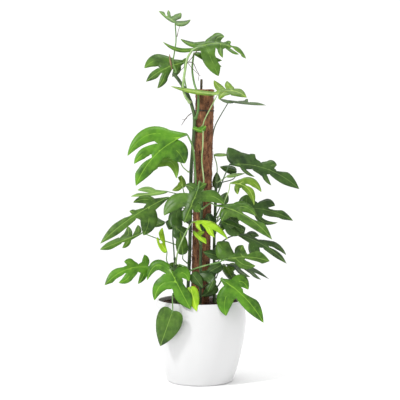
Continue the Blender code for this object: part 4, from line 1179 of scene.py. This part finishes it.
def build_light(air_strength):
    """White surroundings and the lamps, shown without the default tone curve."""
    world = bpy.data.worlds.new("studio_air")
    world.use_nodes = True
    background = world.node_tree.nodes["Background"]
    background.inputs["Color"].default_value = (1, 1, 1, 1)
    background.inputs["Strength"].default_value = air_strength
    bpy.context.scene.world = world
    bpy.context.scene.view_settings.view_transform = "Standard"
    [area_light(*lamp) for lamp in LAMPS]


def build_camera():
    """A long lens from the front, a little above the middle and pitched slightly down."""
    data = bpy.data.cameras.new("view")
    data.sensor_width = 36
    data.lens = 102.7
    item = bpy.data.objects.new("view", data)
    item.location = (0, -3.7, 0.75)
    item.rotation_euler = (math.radians(87.5), 0, 0)
    bpy.context.scene.collection.objects.link(item)
    bpy.context.scene.camera = item


# ---------------------------------------------------------------- settings and operators

def tone_name(finish, index):
    return f"{finish}_tone_{index + 1}"


def tone_property(finish, index, colour):
    label = f"{finish.replace('_', ' ').capitalize()}, tone {index + 1}"
    return FloatVectorProperty(name=label, description=label + ", counted from dark to light",
                               subtype="COLOR", size=3, min=0, max=1, default=colour)


class PlantColours(bpy.types.PropertyGroup):
    """The tones of every leaf colour and finish"""

    __annotations__ = {tone_name(finish, index): tone_property(finish, index, colour)
                       for finish, tones in TONES.items()
                       for index, colour in enumerate(tones)}


class PlantSettings(bpy.types.PropertyGroup):
    """Sizes and amounts that leave the pieces in place, and the light"""

    blade_thickness: FloatProperty(name="Blade thickness",
                                   description="How thick each leaf's blade is",
                                   default=0.5 * MM, min=0.1 * MM, max=2 * MM, precision=5,
                                   subtype="DISTANCE", unit="LENGTH")
    strands: IntProperty(name="Coir strands", description="Loose fibres round the pole",
                         default=700, min=0, max=2000)
    crumbs: IntProperty(name="Soil crumbs", description="Clods pressed into the soil",
                        default=420, min=0, max=1500)
    seed: IntProperty(name="Seed", description="Starting number for what is strewn",
                      default=7, min=0)
    air_strength: FloatProperty(name="Surrounding light",
                                description="Strength of the white surroundings",
                                default=0.88, min=0, max=5)


SURFACES = {}


def surfaces():
    """The materials, made once."""
    if not SURFACES:
        SURFACES.update(build_materials(bpy.context.scene.plant_colours))
    return SURFACES


class PLANT_OT_pot(bpy.types.Operator):
    """Builds the pot and the soil in it"""

    bl_idname = "plant.pot"
    bl_label = "Pot and soil"

    def execute(self, context):
        settings = context.scene.plant
        build_pot(surfaces())
        build_soil(surfaces(), settings.crumbs, settings.seed)
        return {"FINISHED"}


class PLANT_OT_pole(bpy.types.Operator):
    """Builds the coir pole with its core and its cord"""

    bl_idname = "plant.pole"
    bl_label = "Coir pole"

    def execute(self, context):
        settings = context.scene.plant
        build_coir(surfaces(), settings.strands, settings.seed + 1)
        build_core(surfaces())
        build_tie(surfaces())
        return {"FINISHED"}


class PLANT_OT_stems(bpy.types.Operator):
    """Builds the stems, aerial roots and dry husks"""

    bl_idname = "plant.stems"
    bl_label = "Stems and roots"

    def execute(self, context):
        for stem in STEMS:
            build_stem(stem, surfaces())
        for name, radius, places in ROOTS:
            build_root(name + "_wire", name, radius, places, surfaces())
        for index, (radius, places) in enumerate(EXTRA_ROOTS):
            build_root(f"side_root_{index}", None, radius, places, surfaces())
        build_sheath(surfaces())
        return {"FINISHED"}


class PLANT_OT_leaves(bpy.types.Operator):
    """Builds every leaf, blade and stalk"""

    bl_idname = "plant.leaves"
    bl_label = "Leaves"

    def execute(self, context):
        paths = {stem.name: (stem_path(stem, 6), stem.radius) for stem in STEMS}
        for leaf in LEAVES:
            build_leaf(leaf, paths, context.scene.plant.blade_thickness, surfaces())
        return {"FINISHED"}


class PLANT_OT_stage(bpy.types.Operator):
    """Sets up the floor, the lights and the camera"""

    bl_idname = "plant.stage"
    bl_label = "Stage"

    def execute(self, context):
        build_backdrop()
        build_light(context.scene.plant.air_strength)
        build_camera()
        return {"FINISHED"}


OPERATORS = (PLANT_OT_pot, PLANT_OT_pole, PLANT_OT_stems, PLANT_OT_leaves, PLANT_OT_stage)


class PLANT_PT_panel(bpy.types.Panel):
    """Buttons for each part of the plant"""

    bl_label = "Potted monstera"
    bl_space_type = "VIEW_3D"
    bl_region_type = "UI"
    bl_category = "Plant"

    def draw(self, context):
        for name in PlantSettings.__annotations__:
            self.layout.prop(context.scene.plant, name)
        for operator in OPERATORS:
            self.layout.operator(operator.bl_idname)
        for name in PlantColours.__annotations__:
            self.layout.prop(context.scene.plant_colours, name)


CLASSES = (PlantSettings, PlantColours, *OPERATORS, PLANT_PT_panel)


def register():
    for item in CLASSES:
        bpy.utils.register_class(item)
    bpy.types.Scene.plant = PointerProperty(type=PlantSettings)
    bpy.types.Scene.plant_colours = PointerProperty(type=PlantColours)


def unregister():
    del bpy.types.Scene.plant_colours
    del bpy.types.Scene.plant
    for item in reversed(CLASSES):
        bpy.utils.unregister_class(item)


def main():
    register()
    for step in ("pot", "pole", "stems", "leaves", "stage"):
        getattr(bpy.ops.plant, step)()


if __name__ == "__main__":
    main()
